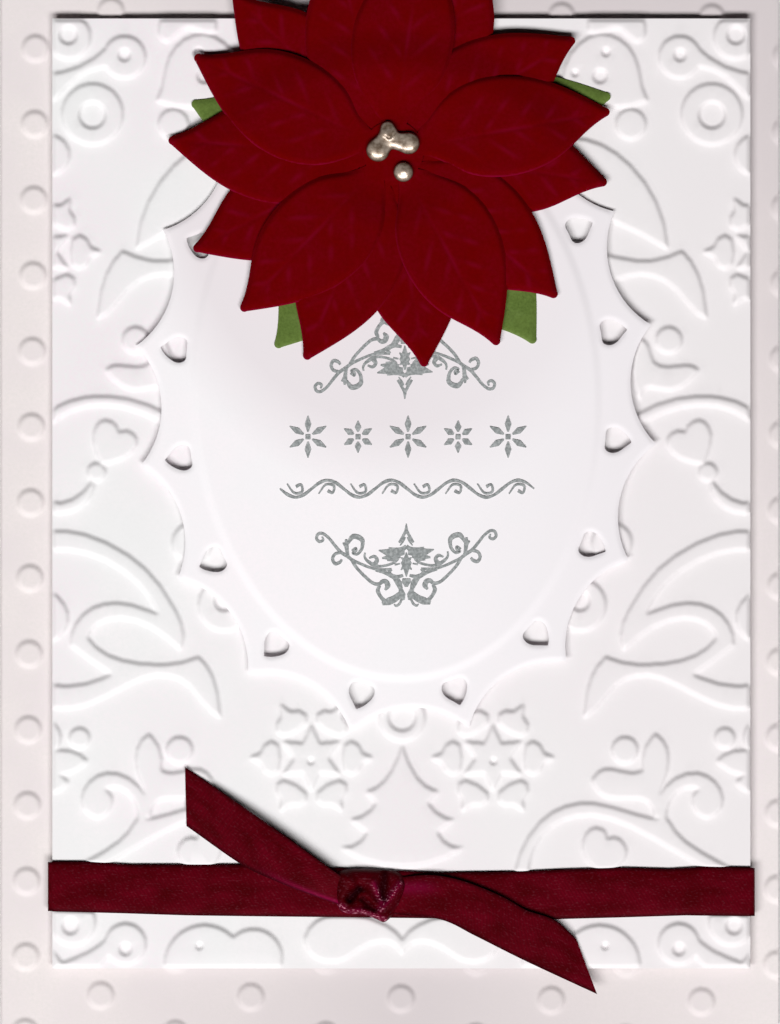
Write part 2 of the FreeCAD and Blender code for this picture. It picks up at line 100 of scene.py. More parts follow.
def addNode(tree, kind, settings=None, links=None):
    # One node with its settings, and the outputs that feed its inputs.
    node = tree.nodes.new(kind)
    for key, value in (settings or {}).items():
        if isinstance(key, str) and hasattr(node, key):
            setattr(node, key, value)
        else:
            node.inputs[key].default_value = value
    for key, output in (links or {}).items():
        tree.links.new(output, node.inputs[key])
    return node


def newMaterial(name):
    material = bpy.data.materials.new(name)
    material.use_nodes = True
    tree = material.node_tree
    tree.nodes.clear()
    return material, tree


def finishMaterial(tree, settings, links):
    shader = addNode(tree, "ShaderNodeBsdfPrincipled", settings, links)
    addNode(tree, "ShaderNodeOutputMaterial", {}, {"Surface": shader.outputs[0]})


def mixColour(tree, share, first, second):
    # The first colour turning into the second as the share goes from nought to one.
    node = addNode(tree, "ShaderNodeMix", {"data_type": "RGBA"}, {0: share})
    for slot, colour in ((6, first), (7, second)):
        if isinstance(colour, str):
            node.inputs[slot].default_value = hexColour(colour)
        else:
            tree.links.new(colour, node.inputs[slot])
    return node.outputs[2]


def mapRange(tree, value, low, high, toLow=0.0, toHigh=1.0):
    settings = {"From Min": low, "From Max": high, "To Min": toLow, "To Max": toHigh}
    return addNode(tree, "ShaderNodeMapRange", settings, {"Value": value}).outputs[0]


def calculate(tree, operation, first, second, clamp=False):
    settings = {"operation": operation, "use_clamp": clamp}
    return addNode(tree, "ShaderNodeMath", settings, {0: first, 1: second}).outputs[0]


def objectPlace(tree):
    return addNode(tree, "ShaderNodeTexCoord").outputs["Object"]


def meshValue(tree, name, output="Fac"):
    # A value that the mesh holds for each of its places.
    return addNode(tree, "ShaderNodeAttribute", {"attribute_name": name}).outputs[output]


def addNoise(tree, place, scale, **settings):
    return addNode(tree, "ShaderNodeTexNoise", {"Scale": scale, **settings}, {"Vector": place}).outputs[0]


def addMapping(tree, place, **settings):
    return addNode(tree, "ShaderNodeMapping", settings, {"Vector": place}).outputs[0]


def addBump(tree, strength, depthMm, height):
    settings = {"Strength": strength, "Distance": depthMm * mm}
    return addNode(tree, "ShaderNodeBump", settings, {"Height": height}).outputs[0]


def makeWorld():
    world = bpy.data.worlds.new("studio")
    bpy.context.scene.world = world
    world.use_nodes = True
    tree = world.node_tree
    tree.nodes.clear()
    path = addNode(tree, "ShaderNodeLightPath")
    shine = mapRange(tree, path.outputs["Is Glossy Ray"], 0.0, 1.0, light["world"], light["glossy"])
    seen = mapRange(tree, path.outputs["Is Camera Ray"], 0.0, 1.0, 0.0, light["backdrop"])
    strength = calculate(tree, "MAXIMUM", shine, seen)
    back = addNode(tree, "ShaderNodeBackground", {"Color": hexColour("#ffffff")}, {"Strength": strength})
    addNode(tree, "ShaderNodeOutputWorld", {}, {"Surface": back.outputs[0]})


def addPiece(name, verts, faces, material, node=None, values=None, sharp=40.0):
    # A mesh piece from places in mm and arrays of their numbers; it rides on the card.
    mesh = bpy.data.meshes.new(name)
    corners = []
    for block in faces:
        corners += block.tolist()
    mesh.from_pydata((verts * mm).tolist(), [], corners)
    mesh.polygons.foreach_set("use_smooth", np.ones(len(corners), bool))
    for key, value in (values or {}).items():
        kind = "FLOAT" if value.ndim == 1 else "FLOAT_VECTOR"
        slot = "value" if value.ndim == 1 else "vector"
        mesh.attributes.new(key, kind, "POINT").data.foreach_set(slot, value.astype(np.float32).ravel())
    mesh.set_sharp_from_angle(angle=math.radians(sharp))
    mesh.materials.append(material)
    mesh.update()
    piece = bpy.data.objects.new(name, mesh)
    bpy.context.collection.objects.link(piece)
    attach(piece, "root")
    if node:
        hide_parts(node)


def nodeSurface(name):
    # The places in mm and triangles of a solid's mesh, with its doubled corners merged.
    mesh = bpy.data.objects[name].data
    mesh.calc_loop_triangles()
    co = np.empty(len(mesh.vertices) * 3)
    mesh.vertices.foreach_get("co", co)
    tri = np.empty(len(mesh.loop_triangles) * 3, int)
    mesh.loop_triangles.foreach_get("vertices", tri)
    places = np.round(co.reshape(-1, 3) / mm, 3)
    merged, index = np.unique(places, axis=0, return_inverse=True)
    tri = index.reshape(-1)[tri].reshape(-1, 3)
    flat = (tri[:, 0] == tri[:, 1]) | (tri[:, 1] == tri[:, 2]) | (tri[:, 2] == tri[:, 0])
    return merged, tri[~flat]


def sidesOf(tri):
    return np.concatenate([tri[:, [0, 1]], tri[:, [1, 2]], tri[:, [2, 0]]])


def rimOf(name, low, high):
    # The edges between the solid's upward faces and the walls that go down from them, at
    # heights from low to high.
    places, tri = nodeSurface(name)
    a, b, c = (places[tri[:, k]] for k in range(3))
    normal = np.cross(b - a, c - a)
    tilt = normal[:, 2] / np.maximum(np.linalg.norm(normal, axis=1), 1e-12)
    pairs = np.sort(sidesOf(tri), axis=1)
    face = np.tile(np.arange(len(tri)), 3)
    key = pairs[:, 0] * len(places) + pairs[:, 1]
    order = np.argsort(key, kind="stable")
    key, face, pairs = key[order], face[order], pairs[order]
    twin = np.nonzero(key[1:] == key[:-1])[0]
    one, other = face[twin], face[twin + 1]
    above = np.where(tilt[one] > tilt[other], one, other)
    wall = one + other - above
    height = places[pairs[twin]].mean(axis=1)[:, 2]
    rim = (tilt[above] > 0.6) & (np.abs(tilt[wall]) < 0.3) & (height > low) & (height < high)
    rim &= (a[wall] + b[wall] + c[wall])[:, 2] / 3 < height + 0.02
    edges = pairs[twin[rim]]
    used, index = np.unique(edges, return_inverse=True)
    flatPlaces, again = np.unique(places[used][:, :2], axis=0, return_inverse=True)
    edges = again.reshape(-1)[index.reshape(-1, 2)]
    return flatPlaces, edges[edges[:, 0] != edges[:, 1]]


def fillRim(places, edges, low, high, cell=0.1):
    # A raster of what lies inside the rim: each row counts the rim's crossings from its left end.
    size = np.ceil((np.asarray(high) - low) / cell).astype(int)
    start, end = places[edges[:, 0]], places[edges[:, 1]]
    swap = start[:, 1] > end[:, 1]
    start[swap], end[swap] = end[swap], start[swap].copy()
    first = np.ceil((start[:, 1] - low[1]) / cell - 0.5).astype(int)
    last = np.ceil((end[:, 1] - low[1]) / cell - 0.5).astype(int)
    count = np.maximum(last - first, 0)
    which = np.repeat(np.arange(len(edges)), count)
    row = np.arange(count.sum()) - np.repeat(np.cumsum(count) - count, count) + first[which]
    y = low[1] + (row + 0.5) * cell
    share = (y - start[which, 1]) / (end[which, 1] - start[which, 1])
    x = start[which, 0] + share * (end[which, 0] - start[which, 0])
    column = np.clip(np.ceil((x - low[0]) / cell - 0.5), 0, size[0]).astype(int)
    good = (row >= 0) & (row < size[1])
    crossings = np.zeros((size[1], size[0] + 1), int)
    np.add.at(crossings, (row[good], column[good]), 1)
    inside = np.cumsum(crossings, axis=1)[:, :size[0]] % 2
    return {"low": np.asarray(low, float), "cell": cell, "grid": inside.astype(float)}


def soften(raster, width):
    # The raster's mean under a bell curve of the given width in mm.
    sigma = width / raster["cell"]
    reach = int(3 * sigma) + 1
    weights = np.exp(-0.5 * (np.arange(-reach, reach + 1) / sigma) ** 2)
    weights /= weights.sum()
    grid = np.pad(raster["grid"], reach, mode="edge")
    rows, columns = raster["grid"].shape
    grid = sum(w * grid[k:k + rows, :] for k, w in enumerate(weights))
    grid = sum(w * grid[:, k:k + columns] for k, w in enumerate(weights))
    return dict(raster, grid=grid)


def readRaster(raster, places):
    # The raster's value at each place, from its four nearest cells.
    grid = raster["grid"]
    at = (places - raster["low"]) / raster["cell"] - 0.5
    at = np.clip(at, 0, np.array([grid.shape[1], grid.shape[0]]) - 1.001)
    i, j = at[:, 0].astype(int), at[:, 1].astype(int)
    u, v = at[:, 0] - i, at[:, 1] - j
    near = grid[j, i] * (1 - u) + grid[j, i + 1] * u
    far = grid[j + 1, i] * (1 - u) + grid[j + 1, i + 1] * u
    return near * (1 - v) + far * v


def gridPoints(low, high, step):
    # Points on rows a step apart, each second row shifted by half a step.
    rows = np.arange(low[1] + step / 2, high[1], step * 0.87)
    columns = np.arange(low[0] + step / 2, high[0], step)
    x, y = np.meshgrid(columns, rows)
    x = x + (np.arange(len(rows))[:, None] % 2) * step / 2
    points = np.stack([x.ravel(), y.ravel()], axis=1)
    return points[points[:, 0] < high[0] - 0.2 * step]


def ringEdges(count):
    # The edges that join a row of places to a ring.
    return np.stack([np.arange(count), (np.arange(count) + 1) % count], 1)


def rectangleRim(low, high, step):
    # The rectangle's outline, cut to pieces about a step long.
    nx = int((high[0] - low[0]) / step)
    ny = int((high[1] - low[1]) / step)
    x = np.linspace(low[0], high[0], nx + 1)
    y = np.linspace(low[1], high[1], ny + 1)
    places = np.concatenate([
        np.stack([x[:-1], np.full(nx, low[1])], 1), np.stack([np.full(ny, high[0]), y[:-1]], 1),
        np.stack([x[:0:-1], np.full(nx, high[1])], 1), np.stack([np.full(ny, low[0]), y[:0:-1]], 1)])
    return places, ringEdges(len(places))


def triangulate(places, edges, inside=None):
    # Triangles between the places that keep the edges, turned to face up.
    found = delaunay_2d_cdt(places.tolist(), edges.tolist(), [], 1, 1e-6)
    flat = np.array([tuple(v) for v in found[0]])
    tri = np.array(found[2])
    a, b, c = (flat[tri[:, k]] for k in range(3))
    area = (b[:, 0] - a[:, 0]) * (c[:, 1] - a[:, 1]) - (b[:, 1] - a[:, 1]) * (c[:, 0] - a[:, 0])
    tri[area < 0] = tri[area < 0][:, ::-1]
    keep = np.abs(area) > 1e-9
    if inside is not None:
        keep &= readRaster(inside, (a + b + c) / 3) > 0.5
    return flat, tri[keep]


def openEdges(tri, count):
    # The edges that only one triangle has, in that triangle's direction.
    pairs = sidesOf(tri)
    key = np.sort(pairs, axis=1) @ np.array([count, 1])
    unique, first, times = np.unique(key, return_index=True, return_counts=True)
    return pairs[first[times == 1]]


def closedSheet(places, edges, inner, topHeight, under, inside=None):
    # A sheet with its top at topHeight(x, y) and walls along its rim. Its underside is at
    # under(x, y) or, where under is a number, flat at that height with no points inside its rim.
    flat, tri = triangulate(np.concatenate([places, inner]), edges, inside)
    count = len(flat)
    rim = openEdges(tri, count)
    top = np.column_stack([flat, topHeight(flat)])
    if callable(under):
        bottom, lowTri, lowRim = np.column_stack([flat, under(flat)]), tri, rim
    else:
        used, index = np.unique(rim, return_inverse=True)
        lowRim = index.reshape(-1, 2)
        lowFlat, lowTri = triangulate(flat[used], lowRim, inside)
        bottom = np.column_stack([lowFlat, np.full(len(lowFlat), under)])
    walls = np.column_stack([lowRim + count, rim[:, ::-1]])
    return np.concatenate([top, bottom]), [tri, lowTri[:, ::-1] + count, walls]


def smoothStep(value, low, high):
    t = np.clip((value - low) / (high - low), 0.0, 1.0)
    return t * t * (3 - 2 * t)


def smoothPath(points, count):
    # A smooth line through the points, each stretch a cubic that leaves along the line
    # between its neighbours; count places an even share of the points apart.
    p = np.asarray(points, float)
    ends = np.concatenate([[2 * p[0] - p[1]], p, [2 * p[-1] - p[-2]]])
    t = np.linspace(0, len(p) - 1, count)
    i = np.minimum(t.astype(int), len(p) - 2)
    u = (t - i)[:, None]
    a, b, c, d = (ends[i + k] for k in range(4))
    bent = (2 * a - 5 * b + 4 * c - d) * u ** 2
    return 0.5 * (2 * b + (c - a) * u + bent + (3 * b - a - 3 * c + d) * u ** 3)


def gridFaces(rows, columns, closeRows=False, closeColumns=False):
    # Four-cornered faces of a grid of rows by columns, joined round where it is closed.
    i = np.arange(rows if closeRows else rows - 1)[:, None]
    j = np.arange(columns if closeColumns else columns - 1)[None, :]
    a = i * columns + j
    b = i * columns + (j + 1) % columns
    c = ((i + 1) % rows) * columns + (j + 1) % columns
    d = ((i + 1) % rows) * columns + j
    return np.stack([a, b, c, d], -1).reshape(-1, 4)


def paperMaterial(name, look):
    # Uncoated card stock: matt, its fibres a fine tooth, its tone a little cloudy.
    material, tree = newMaterial(name)
    place = objectPlace(tree)
    axes = addNode(tree, "ShaderNodeSeparateXYZ", {}, {0: place}).outputs
    cloud = addNoise(tree, place, 1 / (look["cloudMm"] * mm), Detail=3.0)
    tooth = addNoise(tree, place, 1 / (look["toothMm"] * mm), Detail=4.0, Roughness=0.65)
    colour = mixColour(tree, mapRange(tree, cloud, 0.35, 0.65), look["colour"], look["cloud"])
    if "blush" in look:
        # The card's slow change from clean white to a faint pink.
        blush = addNoise(tree, place, 1 / (look["blushMm"] * mm), Detail=1.0)
        colour = mixColour(tree, mapRange(tree, blush, 0.4, 0.62), colour, look["blush"])
    colour = mixColour(tree, mapRange(tree, tooth, 0.3, 0.75), colour, look["fibre"])
    if "shade" in look:
        # Painted shade: the leaf darker towards its right, apart from its lower right corner, as if it leaned
        # back from the light.
        corner = calculate(tree, "MULTIPLY", mapRange(tree, axes[0], *look["cornerRight"]),
                           mapRange(tree, axes[1], *look["cornerLow"]))
        share = calculate(tree, "SUBTRACT", mapRange(tree, axes[0], *look["shadeSpan"]), corner, clamp=True)
        colour = mixColour(tree, share, colour, look["shade"])
    if "dim" in look:
        # The flower keeps some of the light from the card below it.
        moved = addMapping(tree, place, Location=look["dimMove"], Scale=look["dimScale"])
        away = addNode(tree, "ShaderNodeVectorMath", {"operation": "LENGTH"}, {0: moved}).outputs["Value"]
        colour = mixColour(tree, mapRange(tree, away, *look["dimSpan"], 1.0, 0.0), colour, look["dim"])
    if "right" in look:
        # Painted shade: the card a little darker towards its right, as the lamp's light falls off.
        colour = mixColour(tree, mapRange(tree, axes[0], *look["rightShadeSpan"]), colour, look["right"])
    if "edge" in look:
        # Painted highlight: a paler line along the cut edges that face the lamp, and along the midrib and
        # veins.
        colour = mixColour(tree, meshValue(tree, "edge"), colour, look["edge"])
    bump = addBump(tree, look["bump"], look["toothDepthMm"], tooth)
    finishMaterial(tree, {"Roughness": look["roughness"], "IOR": 1.5, "Specular IOR Level": look["gloss"]},
                   {"Base Color": colour, "Normal": bump})
    return material


# Spans and moves are in metres, as the surface's places are; sizes that end in Mm are not.
stock = {"toothMm": 0.5, "toothDepthMm": 0.02, "bump": 0.6, "roughness": 0.85, "gloss": 0.08}
baseCard = paperMaterial("uncoated_card_blush", {
    **stock, "colour": "#ebe2e1", "cloud": "#e5dbdd", "fibre": "#e3dcda", "cloudMm": 9.0,
    "shade": "#d3cacb", "shadeSpan": (-0.046, 0.0), "cornerRight": (0.005, 0.05),
    "cornerLow": (0.055, -0.03)})
# The panel's right tone is painted shade, darker towards its right.
panelCard = paperMaterial("uncoated_card_white", {
    **stock, "colour": "#f0eced", "cloud": "#ecebeb", "fibre": "#eae9e9", "cloudMm": 8.0,
    "toothDepthMm": 0.015, "blush": "#eee3e8", "blushMm": 24.0, "right": "#e8e3e4",
    "rightShadeSpan": (-0.03, 0.05)})
# The label's right tone is painted shade towards its right; its dim tone is painted shade near the flower.
labelCard = paperMaterial("smooth_card_white", {
    **stock, "colour": "#f7f0f3", "cloud": "#f3f0f2", "fibre": "#f1eef0", "cloudMm": 7.0, "toothMm": 0.4,
    "toothDepthMm": 0.012, "dim": "#e6dfe2", "dimMove": (-0.0011, -0.0436, 0.0),
    "dimScale": (1.25, 1.0, 0.0), "dimSpan": (0.0365, 0.0466), "right": "#ebe6e9",
    "rightShadeSpan": (0.0, 0.036)})
redCard = paperMaterial("dyed_card_dark_red", {
    **stock, "colour": "#660001", "cloud": "#68000c", "fibre": "#5e0000", "cloudMm": 3.2, "bump": 0.5,
    "roughness": 0.9, "gloss": 0.02, "edge": "#980f44"})
greenCard = paperMaterial("dyed_card_leaf_green", {
    **stock, "colour": "#56682f", "cloud": "#4c5f29", "fibre": "#647a3a", "cloudMm": 3.0, "toothMm": 0.35,
    "bump": 0.5, "gloss": 0.03, "edge": "#8a9c62"})


def foamMaterial():
    # Closed-cell polyethylene foam: chalk white with pinprick cells.
    material, tree = newMaterial("adhesive_foam_white")
    cells = addNode(tree, "ShaderNodeTexVoronoi", {"Scale": 1 / (0.35 * mm)},
                    {"Vector": objectPlace(tree)}).outputs["Distance"]
    colour = mixColour(tree, mapRange(tree, cells, 0.0, 0.7), "#d9d8d2", "#efeeea")
    finishMaterial(tree, {"Roughness": 0.85, "IOR": 1.5},
                   {"Base Color": colour, "Normal": addBump(tree, 0.6, 0.05, cells)})
    return material


def satinMaterial():
    # Single-faced polyester satin: dark wine red, faint slanting ribs, a painted magenta sheen where
    # it bends to the light, painted near-black shade in its folds, and painted pin glints of bare thread.
    look = {"colour": "#430004", "cloud": "#5c0212", "rib": "#3a0008", "sheen": "#a01250", "darkening": "#120002",
            "glint": "#ec9ab0", "ribMm": 0.42, "ribTurn": 32, "depthMm": 0.015, "drawn": (0.45, 1.0, 1.0)}
    material, tree = newMaterial("polyester_satin_wine")
    cloth = meshValue(tree, "cloth", "Vector")
    turned = addMapping(tree, cloth, Rotation=(0.0, 0.0, math.radians(look["ribTurn"])))
    wave = {"Scale": 1 / look["ribMm"] / 3.14, "Distortion": 1.2, "Detail": 1.0, "Detail Scale": 2.0}
    ribs = addNode(tree, "ShaderNodeTexWave", wave, {"Vector": turned}).outputs[1]
    drawn = addMapping(tree, cloth, Scale=look["drawn"])
    threads = addNoise(tree, drawn, 4.5, Detail=2.0)
    cloud = addNoise(tree, drawn, 0.4, Detail=3.0)
    colour = mixColour(tree, mapRange(tree, cloud, 0.35, 0.68), look["colour"], look["cloud"])
    colour = mixColour(tree, mapRange(tree, ribs, 0.0, 1.0, 0.0, 0.3), colour, look["rib"])
    for name in ("sheen", "darkening"):
        colour = mixColour(tree, meshValue(tree, name), colour, look[name])
    share = calculate(tree, "MULTIPLY", mapRange(tree, threads, 0.56, 0.7), meshValue(tree, "glint"))
    colour = mixColour(tree, share, colour, look["glint"])
    bump = addBump(tree, 0.5, look["depthMm"], calculate(tree, "ADD", ribs, threads))
    finishMaterial(tree, {"Roughness": 0.45, "IOR": 1.5, "Specular IOR Level": 0.05,
                          "Specular Tint": hexColour("#ff8090")}, {"Base Color": colour, "Normal": bump})
    return material


def pearlMaterial():
    # Dimensional pearl paint: champagne with mica shimmer under a glossy skin.
    material, tree = newMaterial("pearl_paint_champagne")
    mica = addNoise(tree, objectPlace(tree), 1 / (0.8 * mm), Detail=4.0)
    facing = addNode(tree, "ShaderNodeLayerWeight", {"Blend": 0.45}).outputs["Facing"]
    colour = mixColour(tree, mapRange(tree, mica, 0.35, 0.65), "#75614f", "#bcab9b")
    # Painted shade: the drops darker where they turn away from the view, towards their rims.
    colour = mixColour(tree, mapRange(tree, facing, 0.15, 0.8), colour, "#3a2a22")
    finishMaterial(tree, {"Roughness": 0.34, "Metallic": 0.5, "Coat Weight": 0.5, "Coat Roughness": 0.15},
                   {"Base Color": colour})
    return material


def inkMaterial():
    # Grey stamping ink soaked into card: matt, a little mottled.
    material, tree = newMaterial("stamping_ink_grey")
    spots = addNoise(tree, objectPlace(tree), 1 / (0.35 * mm), Detail=3.0)
    colour = mixColour(tree, mapRange(tree, spots, 0.4, 0.72), "#828686", "#adb0b0")
    finishMaterial(tree, {"Roughness": 0.7, "IOR": 1.5, "Specular IOR Level": 0.3}, {"Base Color": colour})
    return material


card = {"width": 105.0, "height": 148.0, "stock": 0.3, "gap": 0.4, "fine": 0.24, "coarse": 2.2,
        "dotFoot": 2.05, "dotTop": 1.35, "dotHeight": 0.42, "columnPitch": 10.14, "rowPitch": 10.22,
        "dotTurn": -0.6, "firstLeft": 13.5, "firstUp": 4.1, "margin": 2.6, "rim": 0.6}
panelLow, panelHigh = (np.array(corner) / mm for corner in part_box("front_panel"))


def dotPlaces():
    # Staggered columns of dots, those that the panel leaves in sight.
    column, row = np.meshgrid(np.arange(-12, 13), np.arange(-18, 19))
    along = column * card["columnPitch"]
    rise = (row + 0.5 * (column % 2)) * card["rowPitch"]
    turn = math.radians(card["dotTurn"])
    x = card["firstLeft"] - card["width"] / 2 + along * math.cos(turn) - rise * math.sin(turn)
    y = card["firstUp"] - card["height"] / 2 + along * math.sin(turn) + rise * math.cos(turn)
    under = (x > panelLow[0] + card["margin"]) & (x < panelHigh[0] - card["margin"])
    under &= (y > panelLow[1] + card["margin"]) & (y < panelHigh[1] - card["margin"])
    near = (abs(x) < card["width"] / 2 + card["dotFoot"]) & (abs(y) < card["height"] / 2 + card["dotFoot"])
    return np.stack([x[near & ~under], y[near & ~under]], axis=1)


def nearest(places, centres):
    # The distance from each place to its nearest centre.
    best = np.full(len(places), 1e9)
    for centre in centres:
        best = np.minimum(best, np.hypot(places[:, 0] - centre[0], places[:, 1] - centre[1]))
    return best


def makeCardBase(material):
    # The front leaf's top is flat with a rounded button at each dot:
    # height = dot height x smooth step of the distance to the nearest dot.
    thickness = 2 * card["stock"] + card["gap"]
    outer, inner = thickness / 2, card["gap"] / 2
    bend = -card["width"] / 2 + outer
    low, high = np.array([bend, -card["height"] / 2]), np.array([card["width"] / 2, card["height"] / 2])
    dots = dotPlaces()

    def topHeight(p):
        return thickness + card["dotHeight"] * smoothStep(-nearest(p, dots), -card["dotFoot"] - 0.1,
                                                          -card["dotTop"] + 0.1)

    rim, edges = rectangleRim(low, high, card["rim"])
    coarse = gridPoints(low + 1, high - 1, card["coarse"])
    coarse = coarse[nearest(coarse, dots) > card["dotFoot"] + 0.6]
    fine = gridPoints(low + 0.15, high - 0.15, card["fine"])
    away = nearest(fine, dots)
    fine = fine[(away < card["dotFoot"] + 0.4) & (away > 0.9)]
    verts, faces = closedSheet(rim, edges, np.concatenate([fine, coarse]), topHeight,
                               thickness - card["stock"])
    # The fold and the back leaf: the outer and inner lines of their section, drawn along the card.
    turn = np.linspace(90, 270, 17) * math.pi / 180
    right = card["width"] / 2
    outLine = np.column_stack([bend + outer * np.cos(turn), outer + outer * np.sin(turn)])
    inLine = np.column_stack([bend + inner * np.cos(turn), outer + inner * np.sin(turn)])
    section = np.concatenate([outLine, [[right, 0.0]], [[right, card["stock"]]], inLine[::-1]])
    count = len(section)
    ends = [np.insert(section, 1, y, axis=1) for y in (low[1], high[1])]
    start = len(verts)
    half = count // 2
    pair = np.arange(half - 1)
    cap = np.column_stack([pair, pair + 1, count - 2 - pair, count - 1 - pair])
    around = gridFaces(2, count, closeColumns=True)
    verts = np.concatenate([verts] + ends)
    faces += [cap + start, cap[:, ::-1] + start + count, around[:, ::-1] + start]
    addPiece("card_base_pressed", verts, faces, material, "card_base", sharp=50.0)


panel = {"reliefMm": 0.55, "slopeMm": 0.23, "hollowSlopeMm": 0.75, "fine": 0.19, "coarse": 1.3,
         "rim": 0.35, "steep": 0.05, "axisPx": 402.2,
         "hollowsPx": [(736, 35, 11), (680, 55, 8), (712, 115, 15.5), (606, 52, 6), (575, 73, 5),
                       (600, 76, 9), (580, 601, 12), (605, 946, 5), (679, 949, 8), (734, 926, 10),
                       (402.2, 717, 16), (493.5, 761, 5)]}


def makePanel(material):
    # The relief is the solid's raised faces, softened as a press leaves card:
    # height = relief x the faces' share under a bell curve. The round hollows are filled first
    # and then sunk into it, each a smooth step of the distance from its middle.
    low, high = panelLow[:2], panelHigh[:2]
    places, edges = rimOf("front_panel", level["reliefTop"] - 0.05, level["reliefTop"] + 0.05)
    raised = fillRim(places, edges, low, high)
    rows, columns = raised["grid"].shape
    x, y = np.meshgrid(low[0] + (np.arange(columns) + 0.5) * raised["cell"],
                       low[1] + (np.arange(rows) + 0.5) * raised["cell"])
    right = panel["hollowsPx"]
    left = [(2 * panel["axisPx"] - px, py, reach) for px, py, reach in right]
    hollow = np.zeros_like(x)
    for px, py, reach in right + left:
        middle, radius = onCard((px, py)), reach * photo["mmPerPx"]
        away = np.hypot(x - middle[0], y - middle[1])
        raised["grid"][away < radius + 0.15] = 1.0
        hollow = np.maximum(hollow, 1 - smoothStep(away, radius - panel["hollowSlopeMm"], radius + 0.1))
    height = soften(raised, panel["slopeMm"])
    # The cut flattened the card's very edge, and the ribbon presses down what lies under it.
    inward = np.minimum(np.minimum(x - low[0], high[0] - x), np.minimum(y - low[1], high[1] - y))
    upper, lower = (onCard(ribbon[key]) for key in ("bandTopPx", "bandLowPx"))
    covered = np.minimum(np.interp(x, *upper.T) - y, y - np.interp(x, *lower.T))
    grid = height["grid"] * (1 - hollow) * smoothStep(inward, -0.3, 0.7)
    height["grid"] = panel["reliefMm"] * (grid * (1 - smoothStep(covered, -0.3, 0.4)))
    steep = dict(raised, grid=np.hypot(*np.gradient(height["grid"], raised["cell"])))
    fine = gridPoints(low + 0.12, high - 0.12, panel["fine"])
    fine = fine[readRaster(soften(steep, 0.12), fine) > panel["steep"]]
    coarse = gridPoints(low + 0.5, high - 0.5, panel["coarse"])
    coarse = coarse[readRaster(soften(steep, 0.4), coarse) < panel["steep"]]
    rim, rimEdges = rectangleRim(low, high, panel["rim"])
    verts, faces = closedSheet(rim, rimEdges, np.concatenate([fine, coarse]),
                               lambda p: level["panelFace"] + readRaster(height, p), level["panelBase"])
    addPiece("front_panel_pressed", verts, faces, material, "front_panel", sharp=55.0)


label = {"x": 0.88, "y": 11.17, "turn": 2.35, "plateauHalfWidth": 27.9, "plateauHalfHeight": 38.9,
         "slopeMm": 1.3, "rimDropMm": 0.2, "rimMm": 0.42, "cell": 0.06, "fine": 0.3, "coarse": 1.6}


def plateauDepth(p):
    # How far inside the label's raised oval a place is, in mm.
    turn = math.radians(label["turn"])
    dx, dy = p[:, 0] - label["x"], p[:, 1] - label["y"]
    u = (dx * math.cos(turn) + dy * math.sin(turn)) / label["plateauHalfWidth"]
    v = (dy * math.cos(turn) - dx * math.sin(turn)) / label["plateauHalfHeight"]
    reach = np.hypot(u, v) + 1e-6
    slope = np.hypot(u / label["plateauHalfWidth"], v / label["plateauHalfHeight"]) / reach
    return (1 - reach) / slope


def makeLabel(material):
    # The sheet keeps the solid's scalloped rim and holes; its rim turns down a little, and its
    # middle stands higher: height = face + plateau x smooth step of the depth inside the oval.
    places, edges = rimOf("oval_label", level["labelFace"] - 0.05, level["labelFace"] + 0.05)
    low, high = places.min(axis=0) - 1.0, places.max(axis=0) + 1.0
    inside = fillRim(places, edges, low, high, label["cell"])
    near = soften(inside, label["rimMm"])
    rise = level["plateauTop"] - level["labelFace"]

    def topHeight(p):
        drop = label["rimDropMm"] * (1 - smoothStep(readRaster(near, p), 0.45, 1.0)) ** 1.5
        return level["labelFace"] - drop + rise * smoothStep(plateauDepth(p), -0.1, label["slopeMm"])

    fine = gridPoints(low, high, label["fine"])
    depth = plateauDepth(fine)
    share = readRaster(near, fine)
    fine = fine[(share > 0.66) & ((share < 0.995) | ((depth > -0.6) & (depth < 1.8)))]
    coarse = gridPoints(low, high, label["coarse"])
    depth = plateauDepth(coarse)
    coarse = coarse[(readRaster(near, coarse) > 0.995) & ((depth < -0.8) | (depth > 2.0))]
    verts, faces = closedSheet(places, edges, np.concatenate([fine, coarse]), topHeight,
                               level["labelBase"], inside)
    addPiece("oval_label_pressed", verts, faces, material, "oval_label", sharp=45.0)


flower = {"length": 29.7, "stock": 0.25, "petals": 5, "seat": 4.6, "margin": 0.2,
          "stations": [0.0, 0.12, 0.2, 0.3, 0.45, 0.6, 0.75, 0.88, 0.985, 1.1],
          "leftHalf": [1.0, 1.6, 4.3, 6.4, 7.6, 7.2, 5.5, 3.0, 0.6, 0.4],
          "rightHalf": [1.0, 1.2, 2.3, 4.5, 6.0, 6.0, 4.6, 2.1, 0.55, 0.4],
          "rib": 0.05, "ribWidth": 0.3, "vein": 0.03, "veinPitch": 4.1, "veinLean": 1.0, "dome": 0.12,
          "rimDropMm": 0.5, "rimMm": 0.45, "lineMm": 0.2, "insetMm": 0.12, "cell": 0.06, "lift": 0.25,
          "droop": 0.95}
layerKeys = ("node", "middle", "first", "rise", "step", "tipDroop")
layers = [dict(zip(layerKeys, row)) for row in (
    ("green_leaves", (0.84, 30.73), 19.0, 0.2, 0.4, 0.0),
    ("petals_lower", (-0.9, 33.13), 351.2, 0.5, 0.24, 0.0),
    ("petals_middle", (-1.08, 32.31), 32.0, 0.8, 0.24, 0.5),
    ("petals_upper", (-0.39, 32.87), 10.4, 1.1, 0.24, 1.0))]


